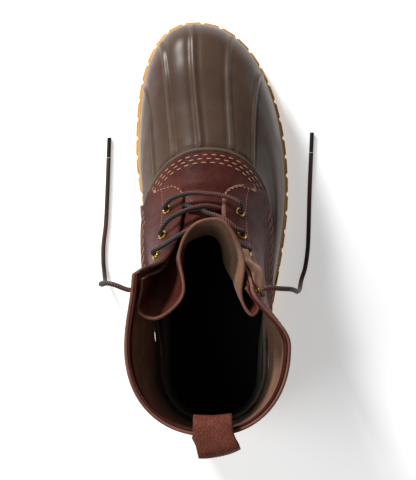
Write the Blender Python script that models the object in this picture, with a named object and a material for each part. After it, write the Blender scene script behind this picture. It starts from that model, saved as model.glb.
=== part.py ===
"""Duck boot for the right foot: gum outsole, rubber shell, leather upper, bellows tongue, insole, pull loop, eyelets
and lace. The frame has its origin on the ground under the middle of the heel, +Y towards the toe, +X towards the
outer side of the foot and +Z up. Sizes below are in millimetres, and the meshes are made in metres."""

import math
from collections import namedtuple

import bmesh
import bpy
import numpy as np
from mathutils import Matrix, Vector

MM = 0.001

# Driving sizes of the foot and the shaft
BOOT_LENGTH = 300.0
BALL_WIDTH = 112.0
HEEL_WIDTH = 76.0
HEEL_TO_BACK = 33.0
INSTEP_RISE = 68.0
COLLAR_WIDTH = 110.0
SHAFT_HEIGHT = 195.0

# Outsole
SOLE_THICKNESS = 9.5
HEEL_RISE = 8.0
TOE_SPRING = 9.0
ARCH_RISE = 5.5
LUG_DEPTH = 2.8
LUG_GAP = 3.2
LINK_PITCH = 14.0
LINK_DEPTH = 1.7
WAVE_DEPTH = 3.0
EDGE_BAND = 2.8
EDGE_STEP = 1.9

# Rubber shell
SHELL_OUT = 1.2
SHELL_IN = 1.8
SHELL_FLOOR = 2.6
RIB_WIDTH = 4.4
RIB_HEIGHT = 1.5
PANEL_BULGE = 0.7
BEAD_WIDTH = 2.6
BEAD_HEIGHT = 1.6
FLANGE_HEIGHT = 11.0

# Leather
LEATHER = 2.2
QUARTER_STEP = 1.0
HEM_WIDTH = 7.5
HEM_STEP = 0.9
TONGUE_THICKNESS = 1.8
INSOLE_THICKNESS = 4.0
STRAP_WIDTH = 26.0
STRAP_THICKNESS = 2.4
STRAP_RISE = 13.0

# Eyelets and lace
EYELETS_A_SIDE = 6
EYELET_PITCH_IN = 22.5
EYELET_PITCH_OUT = 21.6
EYELET_START_IN = 10.0
EYELET_START_OUT = 14.5
EYELET_INSET = 13.0
EYELET_WIDTH = 7.4
EYELET_HOLE = 4.6
EYELET_HEIGHT = 1.1
LACE_WIDTH = 3.3
TIP_LENGTH = 15.0

# Clearances
GAP = 0.3
SEAM_GAP = 0.5
EDGE_GAP = 1.0
TRIM_GAP = 0.5

# A closed loop around the boot at one level, as shares. Lengths along the foot are shares of BOOT_LENGTH from the
# back of the heel. In the foot, heel widths are shares of HEEL_WIDTH, ball widths of BALL_WIDTH and rises of
# INSTEP_RISE above the sole. In the shaft, widths are shares of COLLAR_WIDTH and rises of SHAFT_HEIGHT above the
# ground. The columns ending in _in are on the inner side of the foot, and arch_in pulls that side in at the waist.
Section = namedtuple(
    "Section",
    "name back heel_y heel_in heel_out mid_x ball_y_in ball_in ball_y_out ball_out tip_x tip_y"
    " square_in square_out rise_back rise_side rise_tip arch_in",
)
SOLE_EDGE = Section(
    "sole edge", 0.0, 0.127, 0.507, 0.507, 0.0, 0.683, 0.509, 0.577, 0.491, -0.113, 1.0, 2.45, 2.15, 0, 0, 0, 0.045
)
FOOT = (
    Section(
        "feather", 0.020, 0.130, 0.440, 0.440, 0.0, 0.683, 0.462, 0.583, 0.444, -0.112, 0.980, 2.45, 2.15,
        0.0, 0.0, 0.0, 0.045,
    ),
    Section(
        "bulge", 0.011, 0.130, 0.475, 0.475, 0.0, 0.680, 0.482, 0.580, 0.464, -0.113, 0.989, 2.45, 2.15,
        0.19, 0.19, 0.18, 0.036,
    ),
    Section(
        "wall", 0.012, 0.137, 0.480, 0.478, 0.0, 0.663, 0.473, 0.570, 0.442, -0.112, 0.968, 2.40, 2.15,
        0.40, 0.38, 0.43, 0.018,
    ),
    Section(
        "toe", 0.013, 0.143, 0.490, 0.487, 0.0, 0.627, 0.460, 0.543, 0.420, -0.103, 0.903, 2.35, 2.20,
        0.515, 0.475, 0.632, 0.0,
    ),
    Section(
        "toe box", 0.015, 0.150, 0.502, 0.497, 0.0, 0.550, 0.451, 0.503, 0.393, -0.071, 0.787, 2.30, 2.30,
        0.588, 0.520, 0.824, -0.009,
    ),
    Section(
        "leather line", 0.017, 0.157, 0.513, 0.507, 0.0, 0.467, 0.449, 0.450, 0.366, -0.036, 0.672, 2.20, 2.40,
        0.654, 0.559, 1.0, -0.013,
    ),
)
SHAFT = (
    Section(
        "throat", 0.022, 0.163, 0.364, 0.345, -0.009, 0.443, 0.408, 0.430, 0.312, -0.055, 0.580, 2.2, 2.3,
        0.408, 0.338, 0.472, 0.0,
    ),
    Section(
        "instep", 0.028, 0.177, 0.382, 0.350, -0.018, 0.390, 0.378, 0.377, 0.292, -0.073, 0.477, 2.2, 2.3,
        0.538, 0.513, 0.574, 0.0,
    ),
    Section(
        "ankle", 0.032, 0.203, 0.418, 0.368, -0.027, 0.363, 0.395, 0.350, 0.294, -0.100, 0.420, 2.2, 2.2,
        0.708, 0.708, 0.723, 0.0,
    ),
    Section(
        "shaft", 0.037, 0.217, 0.464, 0.400, -0.027, 0.373, 0.436, 0.357, 0.262, -0.118, 0.413, 2.1, 2.1,
        0.856, 0.856, 0.862, 0.0,
    ),
    Section(
        "collar", 0.041, 0.227, 0.507, 0.429, -0.027, 0.387, 0.461, 0.360, 0.200, -0.127, 0.410, 2.0, 2.0,
        1.0, 1.0, 1.0, 0.0,
    ),
)
# The outer face of the quarters, above the base surface that the sections give
QUARTER_FACE = SEAM_GAP + LEATHER + QUARTER_STEP

LINE = len(FOOT) - 1
THROAT = len(FOOT)
COLLAR = len(FOOT) + len(SHAFT) - 1

# Stations around a loop: 0 is the tip, 1 the ball, 2 the side of the heel and 3 its back, positive on the inner side.
# The throat's two edges, a row for each section of the shaft.
ThroatEdge = namedtuple("ThroatEdge", "inner outer")
THROAT_EDGES = (
    ThroatEdge(0.204, 0.156),
    ThroatEdge(0.28, 0.19),
    ThroatEdge(0.43, 0.34),
    ThroatEdge(0.68, 0.53),
    ThroatEdge(1.0, 1.0),
)
# The ribs over the toe, from the sole's edge to the leather line.
Rib = namedtuple("Rib", "name at_edge at_line")
RIBS = (
    Rib("inner side", 0.759, 0.575),
    Rib("inner", 0.393, 0.311),
    Rib("middle", 0.0, 0.055),
    Rib("outer", -0.266, -0.186),
    Rib("outer side", -0.542, -0.432),
)
SIDE_STATIONS = (1.0, 1.25, 1.5, 1.75, 2.0, 2.2, 2.4, 2.6, 2.8)
BACK_STATION = 3.0


def mix(a, b, share):
    return a + (b - a) * share


def smooth(share):
    share = min(1.0, max(0.0, share))
    return share * share * (3 - 2 * share)


def along(share):
    """The place along the foot of a share of its length."""
    return share * BOOT_LENGTH - HEEL_TO_BACK


def toe_rise(y, start):
    """The toe spring, from where it starts to the tip."""
    tip = along(1.0)
    return TOE_SPRING * (max(0.0, y - start) / (tip - start)) ** 2


def sole_top(y):
    """The height of the sole's upper face."""
    heel = HEEL_RISE * (1 - smooth((y - along(0.19)) / (along(0.50) - along(0.19))))
    return SOLE_THICKNESS + heel + toe_rise(y, along(0.727))


def sole_bottom(y):
    """The height of the sole's lower face: flat heel, breast, arch, flat forefoot and toe spring."""
    breast = smooth((y - along(0.215)) / (along(0.255) - along(0.215)))
    front = 1 - smooth((y - along(0.265)) / (along(0.46) - along(0.265)))
    return ARCH_RISE * breast * front + toe_rise(y, along(0.777))


def in_millimetres(section, foot):
    """A section's shares as millimetres."""
    heel_width, ball_width, height = (
        (HEEL_WIDTH, BALL_WIDTH, INSTEP_RISE) if foot else (COLLAR_WIDTH, COLLAR_WIDTH, SHAFT_HEIGHT)
    )
    return section._replace(
        back=along(section.back),
        heel_y=along(section.heel_y),
        ball_y_in=along(section.ball_y_in),
        ball_y_out=along(section.ball_y_out),
        tip_y=along(section.tip_y),
        heel_in=section.heel_in * heel_width,
        heel_out=section.heel_out * heel_width,
        mid_x=section.mid_x * heel_width,
        ball_in=section.ball_in * ball_width,
        ball_out=section.ball_out * ball_width,
        tip_x=section.tip_x * ball_width,
        rise_back=section.rise_back * height,
        rise_side=section.rise_side * height,
        rise_tip=section.rise_tip * height,
        arch_in=section.arch_in * ball_width,
    )


LEVELS = [(in_millimetres(s, True), True) for s in FOOT] + [(in_millimetres(s, False), False) for s in SHAFT]


def loop_point(level, station):
    """The point of one level's loop at a station."""
    s, foot = level
    inner = station >= 0
    c = min(BACK_STATION, abs(station))
    side = -1 if inner else 1
    ball_x = side * (s.ball_in if inner else s.ball_out)
    ball_y = s.ball_y_in if inner else s.ball_y_out
    heel_x = side * (s.heel_in if inner else s.heel_out)
    square = s.square_in if inner else s.square_out
    if c <= 1:
        angle = c * math.pi / 2
        x = mix(s.tip_x, ball_x, math.sin(angle) ** (2 / square))
        y = mix(ball_y, s.tip_y, math.cos(angle) ** (2 / square))
        rise = mix(s.rise_side, s.rise_tip, math.cos(angle) ** 1.6)
    elif c <= 2:
        share = c - 1
        x = mix(ball_x, heel_x, smooth(share))
        x -= side * (s.arch_in if inner else 0.0) * math.sin(math.pi * share) ** 2
        y = mix(ball_y, s.heel_y, share)
        rise = mix(s.rise_side, s.rise_back, smooth(share) * 0.5)
    else:
        angle = (c - 2) * math.pi / 2
        x = mix(s.mid_x, heel_x, math.cos(angle) ** (2 / 2.2))
        y = mix(s.heel_y, s.back, math.sin(angle) ** (2 / 2.2))
        rise = mix(mix(s.rise_side, s.rise_back, 0.5), s.rise_back, math.sin(angle))
    return np.array([x, y, rise + (sole_top(y) if foot else 0.0)])


def station_after(level, station, millimetres):
    """The station that lies so far from another one around the loop, towards the back of the inner side."""
    step = 0.002 * (1 if millimetres > 0 else -1)
    gone = 0.0
    while gone < abs(millimetres):
        gone += float(np.linalg.norm(loop_point(level, station + step) - loop_point(level, station)))
        station += step
    return station


class Column:
    """A smooth curve up the boot through one station of each level, measured along its own length."""

    def __init__(self, stations):
        knots = np.array([loop_point(level, s) for level, s in zip(LEVELS, stations)])
        chords = np.linalg.norm(np.diff(knots, axis=0), axis=1)
        slopes = np.diff(knots, axis=0) / chords[:, None]
        tangents = np.empty_like(knots)
        tangents[0] = slopes[0]
        tangents[-1] = slopes[-1]
        before, after = chords[:-1, None], chords[1:, None]
        tangents[1:-1] = (after * slopes[:-1] + before * slopes[1:]) / (before + after)
        fine = np.linspace(0, 1, 21)[:-1, None]
        parts = []
        for k, chord in enumerate(chords):
            h = fine
            parts.append(
                (2 * h**3 - 3 * h**2 + 1) * knots[k]
                + (h**3 - 2 * h**2 + h) * chord * tangents[k]
                + (3 * h**2 - 2 * h**3) * knots[k + 1]
                + (h**3 - h**2) * chord * tangents[k + 1]
            )
        self.points = np.vstack([*parts, knots[-1:]])
        steps = np.linalg.norm(np.diff(self.points, axis=0), axis=1)
        self.lengths = np.concatenate([[0.0], np.cumsum(steps)])

    def length_at(self, level):
        """The distance up the column to a level, which may lie between two."""
        return float(np.interp(level * 20, np.arange(len(self.lengths)), self.lengths))

    def at(self, millimetres):
        return np.array([np.interp(millimetres, self.lengths, self.points[:, k]) for k in range(3)])


def normals_of(grid, closed):
    """The outward normal at each point of a grid, columns first, rows upward."""
    if closed:
        across = np.roll(grid, -1, axis=0) - np.roll(grid, 1, axis=0)
    else:
        across = np.gradient(grid, axis=0)
    normals = np.cross(np.gradient(grid, axis=1), across)
    return normals / np.linalg.norm(normals, axis=2)[:, :, None]


def new_object(name, bm, material, collection):
    """A mesh object from a bmesh in millimetres, with the material on it."""
    bmesh.ops.scale(bm, vec=(MM, MM, MM), verts=bm.verts)
    mesh = bpy.data.meshes.new(name)
    bm.to_mesh(mesh)
    bm.free()
    mesh.materials.append(material)
    piece = bpy.data.objects.new(name, mesh)
    collection.objects.link(piece)
    return piece


def shade(piece, degrees=35):
    piece.data.shade_smooth()
    piece.data.set_sharp_from_angle(angle=math.radians(degrees))


def cross_cut(bm, face, height=None, spacing=9.0):
    """Cuts a long face across the foot, and sets it to a height that follows the sole's rise."""
    ys = [v.co.y for v in face.verts]
    cuts = int((max(ys) - min(ys)) / spacing)
    faces = [face]
    for k in range(1, cuts):
        y = mix(min(ys), max(ys), k / cuts)
        geometry = list(faces) + list({e for f in faces for e in f.edges}) + list({v for f in faces for v in f.verts})
        cut = bmesh.ops.bisect_plane(bm, geom=geometry, dist=1e-4, plane_co=(0, y, 0), plane_no=(0, 1, 0))
        faces = [g for g in cut["geom"] if isinstance(g, bmesh.types.BMFace)]
    if height:
        for v in {v for f in faces for v in f.verts}:
            v.co.z = height(v.co.y)


def walled_mesh(outer, inner, keep, closed, floor=None):
    """A closed bmesh between two grids of points. A cell of the grid is built where keep is true, and the open
    edges get a wall. With a floor, given as the heights of its two faces, the lowest row is closed by them."""
    bm = bmesh.new()
    columns, rows = outer.shape[:2]
    skins = {}

    def vertex(skin, i, j):
        key = (skin, i % columns, j)
        if key not in skins:
            skins[key] = bm.verts.new((outer, inner)[skin][i % columns, j])
        return skins[key]

    cells = columns if closed else columns - 1

    def kept(i, j):
        if closed:
            i %= cells
        return 0 <= i < cells and 0 <= j < rows - 1 and keep[i, j]

    for i in range(cells):
        for j in range(rows - 1):
            if not kept(i, j):
                continue
            ring = [(i, j), (i, j + 1), (i + 1, j + 1), (i + 1, j)]
            bm.faces.new([vertex(0, *p) for p in ring])
            bm.faces.new([vertex(1, *p) for p in reversed(ring)])
            beyond = [(i - 1, j), (i, j + 1), (i + 1, j), (i, j - 1)]
            for k, other in enumerate(beyond):
                if kept(*other) or (floor and other[1] < 0):
                    continue
                p, q = ring[k], ring[(k + 1) % 4]
                bm.faces.new([vertex(0, *q), vertex(0, *p), vertex(1, *p), vertex(1, *q)])
    if floor:
        below = bm.faces.new([vertex(0, i, 0) for i in range(columns)])
        above = bm.faces.new([vertex(1, i, 0) for i in reversed(range(columns))])
        cross_cut(bm, below, floor[0])
        cross_cut(bm, above, floor[1])
    return bm


def colour(red, green, blue):
    """A display colour as the linear one that Blender's materials take."""
    return tuple(((c / 255 + 0.055) / 1.055) ** 2.4 if c > 10 else c / 255 / 12.92 for c in (red, green, blue))


def make_material(name, display_colour, roughness, metallic=0.0):
    material = bpy.data.materials.new(name)
    material.use_nodes = True
    shader = material.node_tree.nodes["Principled BSDF"]
    shader.inputs["Base Color"].default_value = (*colour(*display_colour), 1)
    shader.inputs["Roughness"].default_value = roughness
    shader.inputs["Metallic"].default_value = metallic
    material.diffuse_color = (*colour(*display_colour), 1)
    return material


def build_outsole(material, collection, cutters):
    """The gum sole: a scalloped chain edge with a plain band over it, and waves of lugs cut from below."""
    level = (in_millimetres(SOLE_EDGE, True), True)
    dense = np.array([loop_point(level, s) for s in np.linspace(BACK_STATION, -BACK_STATION, 1201)])[:, :2]
    lengths = np.concatenate([[0.0], np.cumsum(np.linalg.norm(np.diff(dense, axis=0), axis=1))])
    links = round(lengths[-1] / LINK_PITCH)
    link_profile = ((0.0, 1.0), (0.16, 0.1), (0.84, 0.1))
    scalloped, plain = [], []
    for link in range(links):
        for place, dip in link_profile:
            length = (link + place) / links * lengths[-1]
            x, y = (np.interp(length, lengths, dense[:, k]) for k in range(2))
            ahead = [np.interp((length + 1) % lengths[-1], lengths, dense[:, k]) for k in range(2)]
            behind = [np.interp((length - 1) % lengths[-1], lengths, dense[:, k]) for k in range(2)]
            run = np.array(ahead) - np.array(behind)
            outward = np.array([-run[1], run[0]]) / np.linalg.norm(run)
            scalloped.append(np.array([x, y]) - outward * dip * LINK_DEPTH)
            plain.append(np.array([x, y]) - outward * EDGE_STEP)

    bm = bmesh.new()
    shelf = SOLE_THICKNESS - EDGE_BAND
    layers = ((scalloped, 0.0), (scalloped, shelf), (plain, shelf), (plain, SOLE_THICKNESS))
    rings = [[bm.verts.new((*p, z)) for p in outline] for outline, z in layers]
    for low, high in zip(rings, rings[1:]):
        for k in range(len(low)):
            j = (k + 1) % len(low)
            bm.faces.new([low[k], high[k], high[j], low[j]])
    bm.faces.new(rings[0])
    cross_cut(bm, bm.faces.new(list(reversed(rings[-1]))))
    flat = new_object("outsole", bm, material, collection)

    bm = bmesh.new()
    half = BALL_WIDTH * 0.75
    steps = 8
    for row in range(1, int(BOOT_LENGTH / LINK_PITCH)):
        middle = along(0) + row * LINK_PITCH
        wave = [
            (mix(-half, half, k / steps), middle + WAVE_DEPTH * (0.5 if k % 2 else -0.5)) for k in range(steps + 1)
        ]
        ring = [(x, y - LUG_GAP / 2) for x, y in wave] + [(x, y + LUG_GAP / 2) for x, y in reversed(wave)]
        face = bm.faces.new([bm.verts.new((x, y, -LUG_DEPTH)) for x, y in ring])
        raised = bmesh.ops.extrude_face_region(bm, geom=[face])
        tops = [g for g in raised["geom"] if isinstance(g, bmesh.types.BMVert)]
        bmesh.ops.translate(bm, vec=(0, 0, 2 * LUG_DEPTH), verts=tops)
    bmesh.ops.recalc_face_normals(bm, faces=bm.faces)
    cutter = new_object("lug gaps", bm, material, cutters)
    cutter.hide_render = True
    cutter.display_type = "WIRE"
    cut = flat.modifiers.new("lugs", "BOOLEAN")
    cut.operation = "DIFFERENCE"
    cut.solver = "EXACT"
    cut.object = cutter
    bpy.context.view_layer.update()
    mesh = bpy.data.meshes.new_from_object(flat.evaluated_get(bpy.context.evaluated_depsgraph_get()))
    flat.modifiers.clear()
    flat.data = mesh

    bm = bmesh.new()
    bm.from_mesh(mesh)
    bmesh.ops.triangulate(bm, faces=bm.faces)
    for v in bm.verts:
        y, z = v.co.y / MM, v.co.z / MM
        tread = z < LUG_DEPTH + 0.01
        v.co.z = MM * (sole_bottom(y) + z if tread else sole_top(y) - (SOLE_THICKNESS - z))
    bm.to_mesh(mesh)
    bm.free()
    shade(flat)
    return flat


def shell_stations():
    """The shell's columns from the back round the toe: station at the sole's edge, station at the leather line,
    millimetres beside them, and the share of the rib and of the panel's bulge there."""
    rows = [(BACK_STATION, BACK_STATION, 0.0, 0.0, 0.0)]
    rows += [(s, s, 0.0, 0.0, 0.0) for s in reversed(SIDE_STATIONS)]
    first, last = RIBS[0], RIBS[-1]
    rows += [(mix(first.at_edge, 1, k), mix(first.at_line, 1, k), 0.0, 0.0, 0.5) for k in (2 / 3, 1 / 3)]
    for k, rib in enumerate(RIBS):
        for beside, height in ((RIB_WIDTH / 2, 0.0), (0.0, 1.0), (-RIB_WIDTH / 2, 0.0)):
            rows.append((rib.at_edge, rib.at_line, beside, height, 0.0))
        if rib is not last:
            beyond = RIBS[k + 1]
            for share in (1 / 3, 2 / 3):
                rows.append(
                    (mix(rib.at_edge, beyond.at_edge, share), mix(rib.at_line, beyond.at_line, share), 0.0, 0.0, 1.0)
                )
    rows += [(mix(last.at_edge, -1, k), mix(last.at_line, -1, k), 0.0, 0.0, 0.5) for k in (1 / 3, 2 / 3)]
    rows += [(-s, -s, 0.0, 0.0, 0.0) for s in SIDE_STATIONS]
    return rows


def throat_edge(k, side):
    """The station of the throat's edge at a level. Below the throat it stays what it is at the throat's bottom."""
    row = THROAT_EDGES[max(0, k - THROAT)]
    return row.inner if side > 0 else -row.outer


def inset_stations(side, inset):
    """The stations by level of a column that runs beside the throat's edge, so many millimetres from it."""
    at_throat = [
        station_after(LEVELS[k], throat_edge(k, side), side * inset) if inset else throat_edge(k, side)
        for k in range(THROAT, len(LEVELS))
    ]
    return [at_throat[0]] * THROAT + at_throat


FACING_INSETS = (0.0, 6.5, EYELET_INSET, 19.5, 25.0, 26.5)
SEAMS = {side: inset_stations(side, FACING_INSETS[-1]) for side in (1, -1)}


def shifted(station, k):
    """Where a column that has this station at the leather line is at a level: the open throat pushes it back."""
    side = 1 if station >= 0 else -1
    c, before, after = abs(station), abs(SEAMS[side][0]), abs(SEAMS[side][k])
    if c < before:
        return side * c * after / before
    return side * mix(after, BACK_STATION, (c - before) / (BACK_STATION - before))


def shell_grid():
    """The shell's base points, one column for each station, with its normals, outer offsets and inner offsets."""
    grid, outward = [], []
    for at_edge, at_line, beside, rib, panel in shell_stations():
        stations = []
        for k, level in enumerate(LEVELS):
            station = shifted(mix(at_edge, at_line, min(1.0, k / LINE)), k)
            stations.append(station_after(level, station, beside) if beside else station)
        column = Column(stations)
        line = column.length_at(LINE)
        low = [column.length_at(k / 2) for k in range(4)]
        dome = [mix(column.length_at(2), line - BEAD_WIDTH - 0.8, k / 5) for k in range(6)]
        flange = [line + FLANGE_HEIGHT / 2, line + FLANGE_HEIGHT]
        places = [*low, *dome, line - BEAD_WIDTH, line - TRIM_GAP, line, *flange]
        ribbed = (0.0, 0.0, 0.5, 0.9, 1.0, 1.0, 1.0, 1.0, 1.0, 0.2)
        offsets = [SHELL_OUT + share * (rib * RIB_HEIGHT + panel * PANEL_BULGE) for share in ribbed]
        bead = SHELL_OUT + BEAD_HEIGHT
        grid.append([column.at(place) for place in places])
        outward.append([*offsets, bead, bead, 0.0, 0.0, 0.0])
    grid = np.array(grid)
    normals = normals_of(grid, True)
    # The bead's upper edge stands square to the flange, so that the leather's edge sits along it.
    normals[:, -4] = normals_of(grid[:, -3:], True)[:, 0]
    return grid, normals, np.array(outward)


def build_shell(material, collection):
    grid, normals, outward = shell_grid()
    outer = grid + normals * outward[:, :, None]
    inner = grid - normals * SHELL_IN
    floor = (lambda y: sole_top(y) + GAP, lambda y: sole_top(y) + GAP + SHELL_FLOOR)
    keep = np.ones(grid.shape[:2], bool)
    shell = new_object("rubber_shell", walled_mesh(outer, inner, keep, True, floor), material, collection)
    shade(shell)
    return shell


def build_insole(material, collection):
    """A flat sheet on the shell's floor, just inside its wall."""
    grid, normals, _ = shell_grid()
    edge = grid[:, 0] - normals[:, 0] * (SHELL_IN + SEAM_GAP)
    rest = GAP + SHELL_FLOOR + GAP
    heights = (lambda y: sole_top(y) + rest, lambda y: sole_top(y) + rest + INSOLE_THICKNESS)
    bm = bmesh.new()
    rings = [[bm.verts.new((x, y, height(y))) for x, y, _ in edge] for height in heights]
    for k in range(len(edge)):
        j = (k + 1) % len(edge)
        bm.faces.new([rings[0][k], rings[1][k], rings[1][j], rings[0][j]])
    cross_cut(bm, bm.faces.new(rings[0]), heights[0])
    cross_cut(bm, bm.faces.new(list(reversed(rings[1]))), heights[1])
    insole = new_object("insole", bm, material, collection)
    shade(insole)
    return insole


def quarter_columns(side):
    """Stations by level of one quarter's columns, from the throat's edge to the last one before the back."""
    columns = [inset_stations(side, inset) for inset in FACING_INSETS]
    for station in (0.70, 0.85, *SIDE_STATIONS):
        columns.append([shifted(side * station, k) for k in range(len(LEVELS))])
    return columns


def build_upper(material, collection):
    """The leather from just above the shell's bead to the collar, with the throat left open."""
    inner_side, outer_side = quarter_columns(1), quarter_columns(-1)
    across = [
        [mix(inner_side[0][0], outer_side[0][0], share)] * len(LEVELS) for share in (0.2, 0.4, 0.6, 0.8)
    ]
    stations = [[BACK_STATION] * len(LEVELS), *reversed(inner_side), *across, *outer_side]
    first_open = len(inner_side)
    last_open = first_open + len(across)
    seam = len(FACING_INSETS) - 1
    vamp_columns = range(first_open - seam + 1, last_open + seam)
    grid, outward, inward = [], [], []
    for i, by_level in enumerate(stations):
        column = Column(by_level)
        line, throat, collar = (column.length_at(k) for k in (LINE, THROAT, COLLAR))
        low = [line + EDGE_GAP, line + FLANGE_HEIGHT / 2, line + FLANGE_HEIGHT + 1.0, throat - 0.8]
        high = [column.length_at(THROAT + k / 3) for k in range(12)]
        places = [*low, *high, collar - HEM_WIDTH - 0.4, collar - HEM_WIDTH, collar]
        vamp = SEAM_GAP + LEATHER
        quarter = QUARTER_FACE
        grid.append([column.at(place) for place in places])
        outward.append([vamp if i in vamp_columns else quarter] * len(low) + [quarter] * (len(places) - len(low)))
        inward.append([SEAM_GAP] * (len(places) - 2) + [SEAM_GAP - HEM_STEP] * 2)
    grid = np.array(grid)
    normals = normals_of(grid, True)
    keep = np.ones(grid.shape[:2], bool)
    keep[first_open : last_open + 1, len(low) :] = False
    outer = grid + normals * np.array(outward)[:, :, None]
    inner = grid + normals * np.array(inward)[:, :, None]
    upper = new_object("upper", walled_mesh(outer, inner, keep, True), material, collection)
    shade(upper)
    return upper


def beside_throat(side, inset, distance):
    """The base surface's point and normal beside the throat's edge, so far up from the throat's bottom."""
    near, at, far = (Column(inset_stations(side, inset + beside)) for beside in (-1.0, 0.0, 1.0))
    place = at.length_at(THROAT) + distance
    up = at.at(place + 1) - at.at(place - 1)
    normal = np.cross(up, side * (near.at(place) - far.at(place)))
    return at.at(place), normal / np.linalg.norm(normal)


def up_throat(side, number):
    """The distance of an eyelet up from the throat's bottom."""
    if side > 0:
        return EYELET_START_IN + number * EYELET_PITCH_IN
    return EYELET_START_OUT + number * EYELET_PITCH_OUT


def skin_place(side, inset, height):
    """The same at a height above the ground."""
    column = Column(inset_stations(side, inset))
    bottom = column.length_at(THROAT)
    fine = np.linspace(column.length_at(LINE), column.lengths[-1], 200)
    place = float(np.interp(height, [column.at(f)[2] for f in fine], fine))
    return beside_throat(side, inset, place - bottom)


def smooth_curve(points, count):
    """Evenly spaced points along a smooth curve through the given ones."""
    knots = np.array(points, float)
    knots = np.vstack([2 * knots[0] - knots[1], knots, 2 * knots[-1] - knots[-2]])
    fine = []
    for a, b, c, d in zip(knots, knots[1:], knots[2:], knots[3:]):
        for t in np.linspace(0, 1, 16)[:-1]:
            fine.append(0.5 * (2 * b + (c - a) * t + (2 * a - 5 * b + 4 * c - d) * t**2 + (3 * b - a - 3 * c + d) * t**3))
    fine = np.array([*fine, knots[-2]])
    lengths = np.concatenate([[0.0], np.cumsum(np.linalg.norm(np.diff(fine, axis=0), axis=1))])
    even = np.linspace(0, lengths[-1], count)
    return np.stack([np.interp(even, lengths, fine[:, k]) for k in range(3)], axis=1)


# The tongue, a row for each height. rise is a share of SHAFT_HEIGHT, lap_in and lap_out are how far the gusset runs
# back inside the quarter and fold_in and fold_out how far it bulges behind that, as shares of GUSSET_DEPTH. side_in,
# side_out and apex_x are shares of TONGUE_WIDTH, root_in, root_out and apex_y shares of BOOT_LENGTH from the heel's
# back. folded goes from 0, flat under the quarters, to 1, a full bellows.
TONGUE_WIDTH = 43.0
GUSSET_DEPTH = 26.0
TONGUE_DEPTH = 1.2
Fold = namedtuple("Fold", "rise lap_in lap_out fold_in fold_out side_in side_out root_in root_out apex_x apex_y folded")
TONGUE = (
    Fold(0.470, 0.30, 0.30, 0.1, 0.1, -0.50, 0.16, 0.47, 0.47, -0.16, 0.557, 0.0),
    Fold(0.515, 0.30, 0.30, 0.1, 0.1, -0.50, 0.16, 0.45, 0.45, -0.16, 0.508, 0.0),
    Fold(0.575, 0.50, 0.35, 0.1, 0.1, -0.50, 0.13, 0.42, 0.42, -0.15, 0.480, 0.4),
    Fold(0.650, 0.75, 0.50, 0.15, 0.1, -0.50, 0.17, 0.39, 0.40, -0.14, 0.474, 0.8),
    Fold(0.740, 0.95, 0.65, 0.14, 0.12, -0.50, 0.26, 0.36, 0.38, -0.13, 0.478, 1.0),
    Fold(0.850, 1.00, 0.75, 0.16, 0.15, -0.50, 0.33, 0.345, 0.36, -0.12, 0.492, 1.0),
    Fold(0.960, 1.00, 0.80, 0.17, 0.18, -0.48, 0.42, 0.340, 0.335, -0.12, 0.505, 1.0),
)


# Two points of the tongue's front on each side, as shares of the way across and forward from its root to its apex.
TONGUE_FRONT = {1: ((-0.16, 0.52), (0.25, 0.86)), -1: ((-0.06, 0.50), (0.43, 0.95))}


def tongue_side(row, side, centre):
    """The points of one half of the tongue at one height, from its edge on the quarter to beside the apex."""
    lap, fold = (row.lap_in, row.fold_in) if side > 0 else (row.lap_out, row.fold_out)
    side_x, root_y = (row.side_in, row.root_in) if side > 0 else (row.side_out, row.root_out)
    height = row.rise * SHAFT_HEIGHT
    inset_depth = TONGUE_DEPTH + TONGUE_THICKNESS / 2

    def under(inset):
        point, normal = skin_place(side, inset, min(height, SHAFT_HEIGHT - 1.5) - (1 - row.folded) * 5.0)
        return point - normal * inset_depth

    flat = [under(inset) for inset in (13.0, 10.5, 8.0, 5.0, 2.0)]
    flat += [mix(flat[-1], centre, 0.3), mix(flat[-1], centre, 0.6)]
    depth = lap * GUSSET_DEPTH
    laps = [under(inset) for inset in (4.5, depth / 2, depth)]
    root = np.array([side_x * TONGUE_WIDTH, along(root_y), height])
    turn = mix(laps[-1], root, 0.45)
    turn[1] = min(laps[-1][1], root[1]) - fold * GUSSET_DEPTH
    front = [np.array([mix(root[0], centre[0], x), mix(root[1], centre[1], y), height]) for x, y in TONGUE_FRONT[side]]
    bellows = [*laps, turn, root, *front]
    return [mix(a, b, row.folded) for a, b in zip(flat, bellows)]


def build_tongue(material, collection):
    """The bellows tongue: one sheet from the inner quarter, round its gusset, over the instep and back."""
    sheets = []
    for row in TONGUE:
        centre = np.array([row.apex_x * TONGUE_WIDTH, along(row.apex_y), row.rise * SHAFT_HEIGHT])
        points = [*tongue_side(row, 1, centre), centre, *reversed(tongue_side(row, -1, centre))]
        sheets.append(smooth_curve(points, 35))
    grid = np.array(sheets).transpose(1, 0, 2)
    normals = normals_of(grid, False)
    keep = np.ones(grid.shape[:2], bool)
    half = normals * TONGUE_THICKNESS / 2
    tongue = new_object("tongue", walled_mesh(grid + half, grid - half, keep, False), material, collection)
    shade(tongue, 60)
    return tongue


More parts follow.
